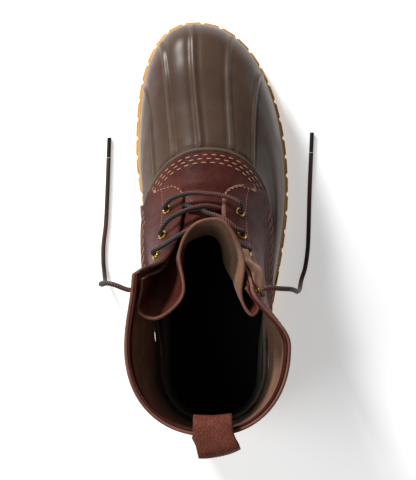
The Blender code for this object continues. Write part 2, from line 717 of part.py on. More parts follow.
def build_pull_loop(material, collection):
    """A strap sewn outside the back of the collar, looped over it and sewn inside."""
    on_quarter = QUARTER_FACE + TRIM_GAP + STRAP_THICKNESS / 2
    in_hem = SEAM_GAP - HEM_STEP - TRIM_GAP - STRAP_THICKNESS / 2
    # Out from the collar's edge and up from it, from the outer leg over the top to the inner leg.
    arch = ((9.0, 2.0), (13.0, 7.0), (11.0, 12.0), (2.0, STRAP_RISE), (-5.5, 12.0), (-9.0, 6.0), (-7.0, -2.0))
    columns = []
    for beside in (-0.5, -0.25, 0.0, 0.25, 0.5):
        around = 2.0 + beside * STRAP_WIDTH
        start = BACK_STATION if around < 0 else -BACK_STATION
        column = Column([station_after(level, start, around) for level in LEVELS])
        top = column.lengths[-1]
        edge = column.at(top)
        middle = np.array([0.0, along(SHAFT[-1].heel_y), 0.0])
        outward = (edge - middle) * (1, 1, 0)
        outward /= np.linalg.norm(outward)
        outward = mix(outward, np.array([0.0, -1.0, 0.0]), 0.5)
        outward /= np.linalg.norm(outward)
        path = [column.at(top - down) + outward * on_quarter for down in (42.0, 28.0, 14.0, 4.0)]
        # The loop leans towards the outer side, so its inner corner stands out further.
        for out, up in arch:
            lean = max(0.0, out) / 13.0
            path.append(edge + outward * (out + lean * (1.5 - 5.0 * beside)) + np.array([3.5 * lean, 0, up]))
        path += [column.at(top - down) + outward * in_hem for down in (8.0, 16.0, 24.0)]
        columns.append(smooth_curve(path, 22))
    grid = np.array(columns)[::-1]
    normals = normals_of(grid, False)
    keep = np.ones(grid.shape[:2], bool)
    half = normals * STRAP_THICKNESS / 2
    strap = new_object("pull_loop", walled_mesh(grid + half, grid - half, keep, False), material, collection)
    shade(strap, 60)
    return strap


def eyelet_place(side, number):
    """The middle of an eyelet on the base surface, and the normal there."""
    return beside_throat(side, EYELET_INSET, up_throat(side, number))


def build_eyelet(name, side, number, material, collection):
    """A brass ring: its profile is spun round the normal of the leather."""
    point, normal = eyelet_place(side, number)
    seat = point + normal * (QUARTER_FACE + TRIM_GAP)
    bm = bmesh.new()
    hole, rim = EYELET_HOLE / 2, EYELET_WIDTH / 2
    profile = ((hole, 0.0), (rim, 0.0), (rim, 0.4), (mix(hole, rim, 0.6), EYELET_HEIGHT), (hole, 0.7))
    ring = [bm.verts.new((r, 0, z)) for r, z in profile]
    edges = [bm.edges.new((ring[k], ring[(k + 1) % len(ring)])) for k in range(len(ring))]
    bmesh.ops.spin(
        bm, geom=edges, cent=(0, 0, 0), axis=(0, 0, 1), angle=2 * math.pi, steps=10, use_merge=True
    )
    bmesh.ops.remove_doubles(bm, verts=bm.verts, dist=1e-4)
    bmesh.ops.recalc_face_normals(bm, faces=bm.faces)
    turn = Vector((0, 0, 1)).rotation_difference(Vector(normal)).to_matrix().to_4x4()
    bmesh.ops.transform(bm, matrix=Matrix.Translation(Vector(seat)) @ turn, verts=bm.verts)
    eyelet = new_object(name, bm, material, collection)
    shade(eyelet)
    return eyelet


def make_tube(name, points, width, material, collection):
    """A round cord along the points, as a curve with a bevel and filled caps."""
    curve = bpy.data.curves.new(name, "CURVE")
    curve.dimensions = "3D"
    curve.bevel_depth = width / 2 * MM
    curve.bevel_resolution = 2
    curve.use_fill_caps = True
    spline = curve.splines.new("POLY")
    spline.points.add(len(points) - 1)
    for place, point in zip(spline.points, points):
        place.co = (*(point * MM), 1)
    curve.materials.append(material)
    cord = bpy.data.objects.new(name, curve)
    collection.objects.link(cord)
    return cord


def as_mesh(cord):
    """The cord's evaluated mesh, with its caps joined to its sides, in place of the curve."""
    bpy.context.view_layer.update()
    mesh = bpy.data.meshes.new_from_object(cord.evaluated_get(bpy.context.evaluated_depsgraph_get()))
    bm = bmesh.new()
    bm.from_mesh(mesh)
    bmesh.ops.remove_doubles(bm, verts=bm.verts, dist=1e-7)
    bmesh.ops.recalc_face_normals(bm, faces=bm.faces)
    bm.to_mesh(mesh)
    bm.free()
    name, collection = cord.name, cord.users_collection[0]
    bpy.data.objects.remove(cord, do_unlink=True)
    piece = bpy.data.objects.new(name, mesh)
    collection.objects.link(piece)
    return piece


def lace_from_eyelet(side, number):
    """The lace's way out of an eyelet: up through the ring, then over the quarter to the throat's edge."""
    on_leather = QUARTER_FACE + TRIM_GAP
    over_ring = on_leather + EYELET_HEIGHT + LACE_WIDTH / 2 + TRIM_GAP
    over_edge = on_leather + LACE_WIDTH / 2 + TRIM_GAP
    route = []
    for inset, lift in (
        (EYELET_INSET, on_leather),
        (EYELET_INSET, mix(on_leather, over_ring, 0.6)),
        (EYELET_INSET * 0.93, over_ring),
        (EYELET_INSET * 0.7, over_ring),
        (EYELET_INSET * 0.35, over_edge),
        (0.5, over_edge),
    ):
        point, normal = beside_throat(side, inset, up_throat(side, number))
        route.append(point + normal * lift)
    return route


# The points that the lace passes, as shares: across of BALL_WIDTH, along of BOOT_LENGTH from the heel's back, and
# up of SHAFT_HEIGHT. The low points lie on the ground.
Place = namedtuple("Place", "across along up")
BAR_ROUTE = (Place(-0.063, 0.572, 0.533),)
STRAND_ROUTE_IN = (
    Place(-0.219, 0.522, 0.556), Place(-0.135, 0.535, 0.541), Place(-0.050, 0.541, 0.528), Place(0.032, 0.536, 0.512),
)
STRAND_ROUTE_OUT = (
    Place(0.084, 0.505, 0.580), Place(0.017, 0.517, 0.556), Place(-0.042, 0.524, 0.538), Place(-0.084, 0.533, 0.525),
    Place(-0.134, 0.537, 0.512), Place(-0.165, 0.540, 0.506),
)
UPPER_BAR_ROUTE = (
    Place(-0.232, 0.467, 0.636), Place(-0.143, 0.485, 0.618), Place(-0.045, 0.496, 0.613), Place(0.045, 0.479, 0.638),
)


def route_points(route):
    """A route's points in millimetres, none of them lower than the cord can lie."""
    lowest = LACE_WIDTH / 2 + GAP
    return [
        np.array([p.across * BALL_WIDTH, along(p.along), max(lowest, p.up * SHAFT_HEIGHT)]) for p in route
    ]


def build_lacing(material, collection, cutters):
    """The lace's two bars over the throat, and the two strands that cross between them, joined where they meet."""
    for name, number, route in (("lace_bar", 0, BAR_ROUTE), ("lace_upper_bar", 2, UPPER_BAR_ROUTE)):
        path = [*lace_from_eyelet(1, number), *route_points(route), *reversed(lace_from_eyelet(-1, number))]
        make_tube(name, smooth_curve(path, 27), LACE_WIDTH, material, collection)
    strands = []
    for name, side, route, home in (
        ("lace_crossing", 1, STRAND_ROUTE_IN, collection),
        ("lace strand", -1, STRAND_ROUTE_OUT, cutters),
    ):
        path = [*lace_from_eyelet(side, 1)[:-1], *route_points(route)]
        strands.append(as_mesh(make_tube(name, smooth_curve(path, 22), LACE_WIDTH, material, home)))
    crossing, strand = strands
    strand.hide_render = True
    strand.display_type = "WIRE"
    join = crossing.modifiers.new("other strand", "BOOLEAN")
    join.operation = "UNION"
    join.solver = "EXACT"
    join.object = strand
    return crossing


# The lace's free ends, from the top eyelet to the tip.
END_ROUTE_IN = (
    Place(-0.607, 0.362, 0.913), Place(-0.665, 0.363, 0.867), Place(-0.688, 0.360, 0.769), Place(-0.705, 0.355, 0.513),
    Place(-0.719, 0.352, 0.205), Place(-0.725, 0.355, 0.072), Place(-0.734, 0.373, 0.018), Place(-0.743, 0.407, 0.0),
    Place(-0.741, 0.450, 0.0), Place(-0.726, 0.498, 0.0), Place(-0.717, 0.563, 0.0), Place(-0.707, 0.667, 0.0),
)
END_ROUTE_OUT = (
    Place(0.402, 0.352, 0.931), Place(0.464, 0.350, 0.892), Place(0.496, 0.345, 0.800), Place(0.527, 0.339, 0.538),
    Place(0.567, 0.340, 0.215), Place(0.582, 0.345, 0.072), Place(0.596, 0.362, 0.018), Place(0.619, 0.388, 0.0),
    Place(0.636, 0.430, 0.0), Place(0.643, 0.477, 0.0), Place(0.650, 0.577, 0.0), Place(0.661, 0.680, 0.0),
)


def build_lace_ends(lace, tip, collection):
    """The two free ends, which drop from the top eyelets and lie forward on the ground, and their hard tips."""
    for word, side, route in (("inner", 1, END_ROUTE_IN), ("outer", -1, END_ROUTE_OUT)):
        point, normal = eyelet_place(side, EYELETS_A_SIDE - 1)
        start = point + normal * (QUARTER_FACE + TRIM_GAP)
        path = smooth_curve([start, start + normal * 4.0, *route_points(route)], 46)
        make_tube(f"lace_end_{word}", path, LACE_WIDTH, lace, collection)
        run = path[-1] - path[-2]
        run = run / np.linalg.norm(run) * (1, 1, 0)
        first = path[-1] + run * GAP
        make_tube(f"lace_tip_{word}", [first, first + run * TIP_LENGTH], LACE_WIDTH, tip, collection)


def main():
    for piece in list(bpy.data.objects):
        bpy.data.objects.remove(piece, do_unlink=True)
    boot = bpy.data.collections.new("duck boot")
    cutters = bpy.data.collections.new("duck boot cutters")
    for collection in (boot, cutters):
        bpy.context.scene.collection.children.link(collection)
    gum = make_material("gum rubber", (205, 158, 95), 0.6)
    rubber = make_material("brown rubber", (84, 66, 56), 0.45)
    leather = make_material("brown leather", (92, 54, 46), 0.5)
    suede = make_material("suede side of the leather", (105, 82, 65), 0.9)
    lining = make_material("black lining", (20, 21, 24), 0.95)
    brass = make_material("brass", (165, 140, 70), 0.35, 1.0)
    cord = make_material("dark cord", (48, 40, 36), 0.8)
    tip = make_material("lace tip", (30, 26, 24), 0.4)
    build_outsole(gum, boot, cutters)
    build_shell(rubber, boot)
    build_upper(leather, boot)
    build_tongue(suede, boot)
    build_insole(lining, boot)
    build_pull_loop(leather, boot)
    for side, word in ((1, "inner"), (-1, "outer")):
        for number in range(EYELETS_A_SIDE):
            build_eyelet(f"eyelet_{word}_{number + 1}", side, number, brass, boot)
    build_lacing(cord, boot, cutters)
    build_lace_ends(cord, tip, boot)


main()
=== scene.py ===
# %% [markdown]
# # A duck boot, seen from straight above
# The boot is for the right foot. It has a moulded rubber bottom, a leather shaft laced over a bellows
# tongue, and a gum sole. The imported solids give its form. This script dresses them: thinner leather with
# real edges, rounded ribs, stitches, brass rings and a braided lace. Every piece is laid on the same curves
# as the solids, so the tables of the foot come first.

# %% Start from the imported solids
import math
from collections import namedtuple

import bmesh
import bpy
import numpy as np
from mathutils import Matrix, Vector


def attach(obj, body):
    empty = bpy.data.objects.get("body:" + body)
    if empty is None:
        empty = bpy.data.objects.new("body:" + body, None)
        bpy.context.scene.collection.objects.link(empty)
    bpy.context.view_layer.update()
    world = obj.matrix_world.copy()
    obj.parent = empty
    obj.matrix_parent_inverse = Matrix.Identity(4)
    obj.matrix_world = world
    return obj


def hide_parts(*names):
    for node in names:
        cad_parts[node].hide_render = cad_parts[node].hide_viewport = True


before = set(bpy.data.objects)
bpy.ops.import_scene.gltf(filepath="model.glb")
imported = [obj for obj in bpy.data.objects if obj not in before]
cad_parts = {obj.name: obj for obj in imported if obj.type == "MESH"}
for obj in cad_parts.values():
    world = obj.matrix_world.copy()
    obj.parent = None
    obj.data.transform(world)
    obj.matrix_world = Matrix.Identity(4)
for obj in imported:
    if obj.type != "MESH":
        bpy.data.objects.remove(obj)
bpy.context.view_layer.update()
MM = 0.001

# %% [markdown]
# ## Camera, light and floor
# The photo was taken from straight above with a long lens, so the collar, which is 195 mm nearer to the
# camera than the floor, looks only about 15% larger than it would at floor level. A camera 1.5 m up with a
# narrow angle gives the same effect. The key light stands beyond the toe at the left, as the highlights on
# the toe show, and a weaker light at the left side fills the shadows.

# %% Camera
CAMERA_HEIGHT = 1.5
HALF_VIEW = 0.1818


def add_object(name, data):
    """A new object in the scene."""
    made = bpy.data.objects.new(name, data)
    bpy.context.scene.collection.objects.link(made)
    return made


camera_data = bpy.data.cameras.new("camera from above")
camera_data.sensor_fit = "VERTICAL"
camera_data.angle = 2 * math.atan(HALF_VIEW / CAMERA_HEIGHT)
camera = add_object("camera from above", camera_data)
camera.location = (-0.004, 0.105, CAMERA_HEIGHT)
bpy.context.scene.camera = camera


# %% Lights
LIGHT_TARGET = Vector((0, 0.1, 0.05))


def soft_light(name, place, size, power):
    """A square soft light that looks at the boot."""
    data = bpy.data.lights.new(name, "AREA")
    data.size = size
    data.energy = power
    light = add_object(name, data)
    light.location = place
    light.rotation_euler = (LIGHT_TARGET - Vector(place)).to_track_quat("-Z", "Y").to_euler()


soft_light("key light", (-0.95, 1.65, 0.95), 0.36, 44.0)
soft_light("side light", (-0.9, -0.1, 1.6), 0.8, 12.0)
world = bpy.data.worlds.new("studio")
world.use_nodes = True
world.node_tree.nodes["Background"].inputs["Color"].default_value = (1, 1, 1, 1)
world.node_tree.nodes["Background"].inputs["Strength"].default_value = 0.18
bpy.context.scene.world = world
bpy.context.scene.view_settings.view_transform = "Standard"

# %% [markdown]
# ## The last
# A boot is sewn and moulded over a last, a form in the shape of the foot. Here the last is a stack of
# closed loops: one row of the table for each level from the sole to the collar. A curve that climbs through
# one point of every loop is a column, and all the pieces below are measured in millimetres along these
# columns.

# %% Sizes in millimetres
BOOT_LENGTH = 300.0
BALL_WIDTH = 112.0
HEEL_WIDTH = 76.0
HEEL_TO_BACK = 33.0
INSTEP_RISE = 68.0
COLLAR_WIDTH = 110.0
SHAFT_HEIGHT = 195.0

# Outsole
SOLE_THICKNESS = 9.5
HEEL_RISE = 8.0
TOE_SPRING = 9.0

# Rubber shell
SHELL_OUT = 1.2
SHELL_IN = 1.8
RIB_WIDTH = 4.4
RIB_HEIGHT = 1.5
PANEL_BULGE = 0.7
BEAD_WIDTH = 2.6
BEAD_HEIGHT = 1.6

# Leather
LEATHER = 2.2
QUARTER_STEP = 1.0
HEM_WIDTH = 7.5
HEM_STEP = 0.9
TONGUE_THICKNESS = 1.8
STRAP_WIDTH = 26.0
STRAP_THICKNESS = 2.4
STRAP_RISE = 13.0

# Eyelets and lace
EYELETS_A_SIDE = 6
EYELET_PITCH_IN = 22.5
EYELET_PITCH_OUT = 21.6
EYELET_START_IN = 10.0
EYELET_START_OUT = 14.5
EYELET_INSET = 13.0
EYELET_WIDTH = 7.4
EYELET_HOLE = 4.6
EYELET_HEIGHT = 1.1
LACE_WIDTH = 3.3
TIP_LENGTH = 15.0
GAP = 0.3
SEAM_GAP = 0.5
TRIM_GAP = 0.5


# %% Loops of the foot and the shaft, as shares of the sizes
# A closed loop around the boot at one level, as shares. Lengths along the foot are shares of BOOT_LENGTH
# from the back of the heel. In the foot, heel widths are shares of HEEL_WIDTH, ball widths of BALL_WIDTH
# and rises of INSTEP_RISE above the sole. In the shaft, widths are shares of COLLAR_WIDTH and rises of
# SHAFT_HEIGHT above the ground. The columns ending in _in are on the inner side of the foot, and arch_in
# pulls that side in at the waist.
Section = namedtuple(
    "Section",
    "name back heel_y heel_in heel_out mid_x ball_y_in ball_in ball_y_out ball_out tip_x tip_y"
    " square_in square_out rise_back rise_side rise_tip arch_in",
)
FOOT = [Section(*row) for row in (
    ("feather", 0.020, 0.130, 0.440, 0.440, 0.0, 0.683, 0.462, 0.583, 0.444, -0.112, 0.980, 2.45, 2.15,
     0.0, 0.0, 0.0, 0.045),
    ("bulge", 0.011, 0.130, 0.475, 0.475, 0.0, 0.680, 0.482, 0.580, 0.464, -0.113, 0.989, 2.45, 2.15,
     0.19, 0.19, 0.18, 0.036),
    ("wall", 0.012, 0.137, 0.480, 0.478, 0.0, 0.663, 0.473, 0.570, 0.442, -0.112, 0.968, 2.40, 2.15,
     0.40, 0.38, 0.43, 0.018),
    ("toe", 0.013, 0.143, 0.490, 0.487, 0.0, 0.627, 0.460, 0.543, 0.420, -0.103, 0.903, 2.35, 2.20,
     0.515, 0.475, 0.632, 0.0),
    ("toe box", 0.015, 0.150, 0.502, 0.497, 0.0, 0.550, 0.451, 0.503, 0.393, -0.071, 0.787, 2.30, 2.30,
     0.588, 0.520, 0.824, -0.009),
    ("leather line", 0.017, 0.157, 0.513, 0.507, 0.0, 0.467, 0.449, 0.450, 0.366, -0.036, 0.672, 2.20, 2.40,
     0.654, 0.559, 1.0, -0.013),
)]
SHAFT = [Section(*row) for row in (
    ("throat", 0.022, 0.163, 0.364, 0.345, -0.009, 0.443, 0.408, 0.430, 0.312, -0.055, 0.580, 2.2, 2.3,
     0.408, 0.338, 0.472, 0.0),
    ("instep", 0.028, 0.177, 0.382, 0.350, -0.018, 0.390, 0.378, 0.377, 0.292, -0.073, 0.477, 2.2, 2.3,
     0.538, 0.513, 0.574, 0.0),
    ("ankle", 0.032, 0.203, 0.418, 0.368, -0.027, 0.363, 0.395, 0.350, 0.294, -0.100, 0.420, 2.2, 2.2,
     0.708, 0.708, 0.723, 0.0),
    ("shaft", 0.037, 0.217, 0.464, 0.400, -0.027, 0.373, 0.436, 0.357, 0.262, -0.118, 0.413, 2.1, 2.1,
     0.856, 0.856, 0.862, 0.0),
    ("collar", 0.041, 0.227, 0.507, 0.429, -0.027, 0.387, 0.461, 0.360, 0.200, -0.127, 0.410, 2.0, 2.0,
     1.0, 1.0, 1.0, 0.0),
)]
# The outer face of the quarters, above the base surface that the sections give
QUARTER_FACE = SEAM_GAP + LEATHER + QUARTER_STEP

LINE = len(FOOT) - 1
THROAT = len(FOOT)
COLLAR = len(FOOT) + len(SHAFT) - 1


# %% The throat's edges and the ribs over the toe
# Stations around a loop: 0 is the tip, 1 the ball, 2 the side of the heel and 3 its back, positive on the
# inner side. The throat's two edges, a row for each section of the shaft.
ThroatEdge = namedtuple("ThroatEdge", "inner outer")
THROAT_EDGES = (
    ThroatEdge(0.204, 0.156),
    ThroatEdge(0.28, 0.19),
    ThroatEdge(0.43, 0.34),
    ThroatEdge(0.68, 0.53),
    ThroatEdge(1.0, 1.0),
)
# The ribs over the toe, from the sole's edge to the leather line.
Rib = namedtuple("Rib", "name at_edge at_line")
RIBS = (
    Rib("inner side", 0.759, 0.575),
    Rib("inner", 0.393, 0.311),
    Rib("middle", 0.0, 0.055),
    Rib("outer", -0.266, -0.186),
    Rib("outer side", -0.542, -0.432),
)
SIDE_STATIONS = (1.0, 1.25, 1.5, 1.75, 2.0, 2.2, 2.4, 2.6, 2.8)
BACK_STATION = 3.0


# %% Points on the loops
def mix(a, b, share):
    return a + (b - a) * share


def smooth(share):
    share = min(1.0, max(0.0, share))
    return share * share * (3 - 2 * share)


def along(share):
    """The place along the foot of a share of its length."""
    return share * BOOT_LENGTH - HEEL_TO_BACK


def toe_rise(y, start):
    """The toe spring, from where it starts to the tip."""
    tip = along(1.0)
    return TOE_SPRING * (max(0.0, y - start) / (tip - start)) ** 2


def sole_top(y):
    """The height of the sole's upper face."""
    heel = HEEL_RISE * (1 - smooth((y - along(0.19)) / (along(0.50) - along(0.19))))
    return SOLE_THICKNESS + heel + toe_rise(y, along(0.727))


def in_millimetres(section, foot):
    """A section's shares as millimetres."""
    heel, ball, height = HEEL_WIDTH, BALL_WIDTH, INSTEP_RISE
    if not foot:
        heel, ball, height = COLLAR_WIDTH, COLLAR_WIDTH, SHAFT_HEIGHT
    lengths = ("back", "heel_y", "ball_y_in", "ball_y_out", "tip_y")
    made = {key: along(getattr(section, key)) for key in lengths}
    for size, keys in (
        (heel, ("heel_in", "heel_out", "mid_x")),
        (ball, ("ball_in", "ball_out", "tip_x", "arch_in")),
        (height, ("rise_back", "rise_side", "rise_tip")),
    ):
        made.update({key: getattr(section, key) * size for key in keys})
    return section._replace(**made)


LEVELS = [(in_millimetres(s, True), True) for s in FOOT] + [(in_millimetres(s, False), False) for s in SHAFT]


def loop_point(level, station):
    """The point of one level's loop at a station."""
    s, foot = level
    inner = station >= 0
    c = min(BACK_STATION, abs(station))
    side = -1 if inner else 1
    ball_x = side * (s.ball_in if inner else s.ball_out)
    ball_y = s.ball_y_in if inner else s.ball_y_out
    heel_x = side * (s.heel_in if inner else s.heel_out)
    square = s.square_in if inner else s.square_out
    if c <= 1:
        angle = c * math.pi / 2
        x = mix(s.tip_x, ball_x, math.sin(angle) ** (2 / square))
        y = mix(ball_y, s.tip_y, math.cos(angle) ** (2 / square))
        rise = mix(s.rise_side, s.rise_tip, math.cos(angle) ** 1.6)
    elif c <= 2:
        share = c - 1
        x = mix(ball_x, heel_x, smooth(share))
        x -= side * (s.arch_in if inner else 0.0) * math.sin(math.pi * share) ** 2
        y = mix(ball_y, s.heel_y, share)
        rise = mix(s.rise_side, s.rise_back, smooth(share) * 0.5)
    else:
        angle = (c - 2) * math.pi / 2
        x = mix(s.mid_x, heel_x, math.cos(angle) ** (2 / 2.2))
        y = mix(s.heel_y, s.back, math.sin(angle) ** (2 / 2.2))
        rise = mix(mix(s.rise_side, s.rise_back, 0.5), s.rise_back, math.sin(angle))
    return np.array([x, y, rise + (sole_top(y) if foot else 0.0)])


def station_after(level, station, millimetres):
    """The station that lies so far from another one around the loop, towards the back of the inner side."""
    step = 0.002 * (1 if millimetres > 0 else -1)
    gone = 0.0
    while gone < abs(millimetres):
        gone += float(np.linalg.norm(loop_point(level, station + step) - loop_point(level, station)))
        station += step
    return station


# %% Columns through the loops
class Column:
    """A smooth curve up the boot through one station of each level, measured along its own length."""

    def __init__(self, stations):
        knots = np.array([loop_point(level, s) for level, s in zip(LEVELS, stations)])
        chords = np.linalg.norm(np.diff(knots, axis=0), axis=1)
        slopes = np.diff(knots, axis=0) / chords[:, None]
        tangents = np.empty_like(knots)
        tangents[0] = slopes[0]
        tangents[-1] = slopes[-1]
        before, after = chords[:-1, None], chords[1:, None]
        tangents[1:-1] = (after * slopes[:-1] + before * slopes[1:]) / (before + after)
        fine = np.linspace(0, 1, 21)[:-1, None]
        parts = []
        for k, chord in enumerate(chords):
            h = fine
            parts.append(
                (2 * h**3 - 3 * h**2 + 1) * knots[k]
                + (h**3 - 2 * h**2 + h) * chord * tangents[k]
                + (3 * h**2 - 2 * h**3) * knots[k + 1]
                + (h**3 - h**2) * chord * tangents[k + 1]
            )
        self.points = np.vstack([*parts, knots[-1:]])
        steps = np.linalg.norm(np.diff(self.points, axis=0), axis=1)
        self.lengths = np.concatenate([[0.0], np.cumsum(steps)])

    def length_at(self, level):
        """The distance up the column to a level, which may lie between two."""
        return float(np.interp(level * 20, np.arange(len(self.lengths)), self.lengths))

    def at(self, millimetres):
        return np.array([np.interp(millimetres, self.lengths, self.points[:, k]) for k in range(3)])

    def spread(self, bottom, top, count):
        """Evenly spaced points from one place on the column to another."""
        return [self.at(mix(bottom, top, k / (count - 1))) for k in range(count)]


def normals_of(grid):
    """The outward normal at each point of a grid, columns first, rows upward."""
    normals = np.cross(np.gradient(grid, axis=1), np.gradient(grid, axis=0))
    return normals / np.linalg.norm(normals, axis=2)[:, :, None]


# %% Columns beside the throat
def throat_edge(k, side):
    """The station of the throat's edge at a level, and below the throat that of the throat's bottom."""
    row = THROAT_EDGES[max(0, k - THROAT)]
    return row.inner if side > 0 else -row.outer


def inset_stations(side, inset):
    """The stations by level of a column that runs beside the throat's edge, so many millimetres from it."""
    at_throat = [
        station_after(LEVELS[k], throat_edge(k, side), side * inset) if inset else throat_edge(k, side)
        for k in range(THROAT, len(LEVELS))
    ]
    return [at_throat[0]] * THROAT + at_throat


FACING_INSETS = (0.0, 6.5, EYELET_INSET, 19.5, 25.0, 26.5)
SEAMS = {side: inset_stations(side, FACING_INSETS[-1]) for side in (1, -1)}


def shifted(station, k):
    """The station at a level of a column that has this one at the leather line: the throat pushes it back."""
    side = 1 if station >= 0 else -1
    c, before, after = abs(station), abs(SEAMS[side][0]), abs(SEAMS[side][k])
    if c < before:
        return side * c * after / before
    return side * mix(after, BACK_STATION, (c - before) / (BACK_STATION - before))


def beside_throat(side, inset, distance):
    """The base surface's point and normal beside the throat's edge, so far up from the throat's bottom."""
    near, at, far = (Column(inset_stations(side, inset + beside)) for beside in (-1.0, 0.0, 1.0))
    place = at.length_at(THROAT) + distance
    up = at.at(place + 1) - at.at(place - 1)
    normal = np.cross(up, side * (near.at(place) - far.at(place)))
    return at.at(place), normal / np.linalg.norm(normal)


def up_throat(side, number):
    """The distance of an eyelet up from the throat's bottom."""
    start, pitch = (EYELET_START_IN, EYELET_PITCH_IN) if side > 0 else (EYELET_START_OUT, EYELET_PITCH_OUT)
    return start + number * pitch


def skin_place(side, inset, height):
    """The base surface's point and normal beside the throat's edge at a height above the ground."""
    column = Column(inset_stations(side, inset))
    bottom = column.length_at(THROAT)
    fine = np.linspace(column.length_at(LINE), column.lengths[-1], 200)
    place = float(np.interp(height, [column.at(f)[2] for f in fine], fine))
    return beside_throat(side, inset, place - bottom)


def smooth_curve(points, count):
    """Evenly spaced points along a smooth curve through the given ones."""
    knots = np.array(points, float)
    knots = np.vstack([2 * knots[0] - knots[1], knots, 2 * knots[-1] - knots[-2]])
    fine = []
    for a, b, c, d in zip(knots, knots[1:], knots[2:], knots[3:]):
        for t in np.linspace(0, 1, 16)[:-1]:
            bend, twist = 2 * a - 5 * b + 4 * c - d, 3 * b - a - 3 * c + d
            fine.append(0.5 * (2 * b + (c - a) * t + bend * t**2 + twist * t**3))
    fine = np.array([*fine, knots[-2]])
    lengths = np.concatenate([[0.0], np.cumsum(np.linalg.norm(np.diff(fine, axis=0), axis=1))])
    even = np.linspace(0, lengths[-1], count)
    return np.stack([np.interp(even, lengths, fine[:, k]) for k in range(3)], axis=1)


toe_edge = Column([0.0] * len(LEVELS)).at(0)
print("loops:", len(LEVELS), "height of the toe's edge:", round(toe_edge[2], 1), "mm")


# %% [markdown]
# ## Grids laid on the last
# Leather is a flat sheet that is pulled over the last, so each piece starts as a flat grid and every point of
# the grid is then moved to its place on the boot. The grid keeps a flat map of itself in millimetres, which
# the grain and the braid follow. A Solidify modifier gives the sheet its thickness, with the raw edge and the
# flesh side as materials of their own.

# %% Flat grids, bent
COARSE = 1


def bent_grid(points, closed=False, other=None, mask=None):
    """A bmesh grid on an array of points in millimetres, across first and up second, with its map.

    The function other names the material of a face from its column and row. The array mask gives each point a
    value that a finish can use.
    """
    columns, rows = points.shape[:2]
    bm = bmesh.new()
    sheet_map = bm.loops.layers.uv.new("UVMap")
    point_mask = bm.verts.layers.float.new("mask")
    bmesh.ops.create_grid(bm, x_segments=columns - 1, y_segments=rows - 1, size=1.0)
    widths = np.linalg.norm(np.diff(points, axis=0), axis=2)
    heights = np.linalg.norm(np.diff(points, axis=1), axis=2)
    across = np.concatenate([[0.0], np.cumsum(widths.mean(axis=1))])
    up = np.concatenate([[0.0], np.cumsum(heights.mean(axis=0))])
    places = {}
    for v in bm.verts:
        i = round((1 - v.co.x) / 2 * (columns - 1))
        j = round((1 + v.co.y) / 2 * (rows - 1))
        places[v] = (i, j)
    for face in bm.faces:
        for corner in face.loops:
            i, j = places[corner.vert]
            corner[sheet_map].uv = (across[i] * MM, up[j] * MM)
        if other:
            column, row = (min(places[v][k] for v in face.verts) for k in (0, 1))
            face.material_index = other(column, row)
    for v, (i, j) in places.items():
        v.co = Vector(points[i, j]) * MM
        v[point_mask] = float(mask[i, j]) if mask is not None else 0.0
    if closed:
        bmesh.ops.remove_doubles(bm, verts=bm.verts, dist=1e-6)
    return bm


def place_piece(name, bm, materials, replaces=(), angle=40):
    """Makes the bmesh a piece of the boot: smooth, riding on it, with its materials."""
    mesh = bpy.data.meshes.new(name)
    bm.to_mesh(mesh)
    bm.free()
    for material in materials:
        mesh.materials.append(material)
    mesh.shade_smooth()
    mesh.set_sharp_from_angle(angle=math.radians(angle))
    piece = add_object(name, mesh)
    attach(piece, "root")
    if replaces:
        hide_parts(*replaces)
    return piece


def give_thickness(piece, millimetres, offset=-1.0):
    """A wall behind the sheet: its back and its raw edge take the second and the third material."""
    wall = piece.modifiers.new("thickness", "SOLIDIFY")
    wall.thickness = millimetres * MM
    wall.offset = offset
    last = len(piece.data.materials) - 1
    wall.material_offset = min(1, last)
    wall.material_offset_rim = min(2, last)


def make_sheet(name, grid, materials, wall, replaces=(), offset=-1.0, other=None):
    """A leather sheet on a grid of points, with its thickness."""
    piece = place_piece(name, bent_grid(grid, other=other), materials, replaces)
    give_thickness(piece, wall, offset)
    return piece


def tube_grid(path, width, around=14):
    """Rings of points round a path, each turned as little as possible from the one before."""
    runs = np.gradient(path, axis=0)
    runs /= np.linalg.norm(runs, axis=1)[:, None]
    side = np.cross(runs[0], [0.3, 0.2, 1.0])
    rings = []
    for point, run in zip(path, runs):
        side = side - run * (side @ run)
        side /= np.linalg.norm(side)
        other = np.cross(run, side)
        turns = np.linspace(0, 2 * math.pi, around + 1)
        rings.append([point + width / 2 * (math.cos(a) * side + math.sin(a) * other) for a in turns])
    return np.array(rings).transpose(1, 0, 2)[::-1]


def make_cord(name, path, width, material, replaces=()):
    """A round cord with its ends filled flat. Its map runs round it from 0 to its girth, and along it in
    metres.
    """
    bm = bent_grid(tube_grid(path, width), closed=True)
    rims = [e for e in bm.edges if e.is_boundary]
    bmesh.ops.holes_fill(bm, edges=rims, sides=0)
    return place_piece(name, bm, [material], replaces)


# %% [markdown]
# ## Nodes that several finishes share
# Leather grain, soft mottling and the braid of the lace are small node groups. Each gives out masks and
# heights only. The shader itself stays in every material, where its plain numbers are set on its own sockets.

# %% Helpers for nodes
def add_node(tree, kind, values=None, **settings):
    """A node with its settings and its inputs, each a plain value or another node's output."""
    node = tree.nodes.new(kind)
    for key, value in settings.items():
        setattr(node, key, value)
    for key, value in (values or {}).items():
        if isinstance(value, bpy.types.NodeSocket):
            tree.links.new(value, node.inputs[key])
        else:
            node.inputs[key].default_value = value
    return node


def sum_of(tree, a, b, operation="ADD"):
    """The result of a sum on two values or outputs."""
    return add_node(tree, "ShaderNodeMath", {0: a, 1: b}, operation=operation).outputs[0]


def times(tree, a, b):
    return sum_of(tree, a, b, "MULTIPLY")


def stretched(tree, value, low, high, **settings):
    """A value whose range from low to high becomes 0 to 1."""
    values = {"Value": value, "From Min": low, "From Max": high}
    return add_node(tree, "ShaderNodeMapRange", values, **settings).outputs[0]


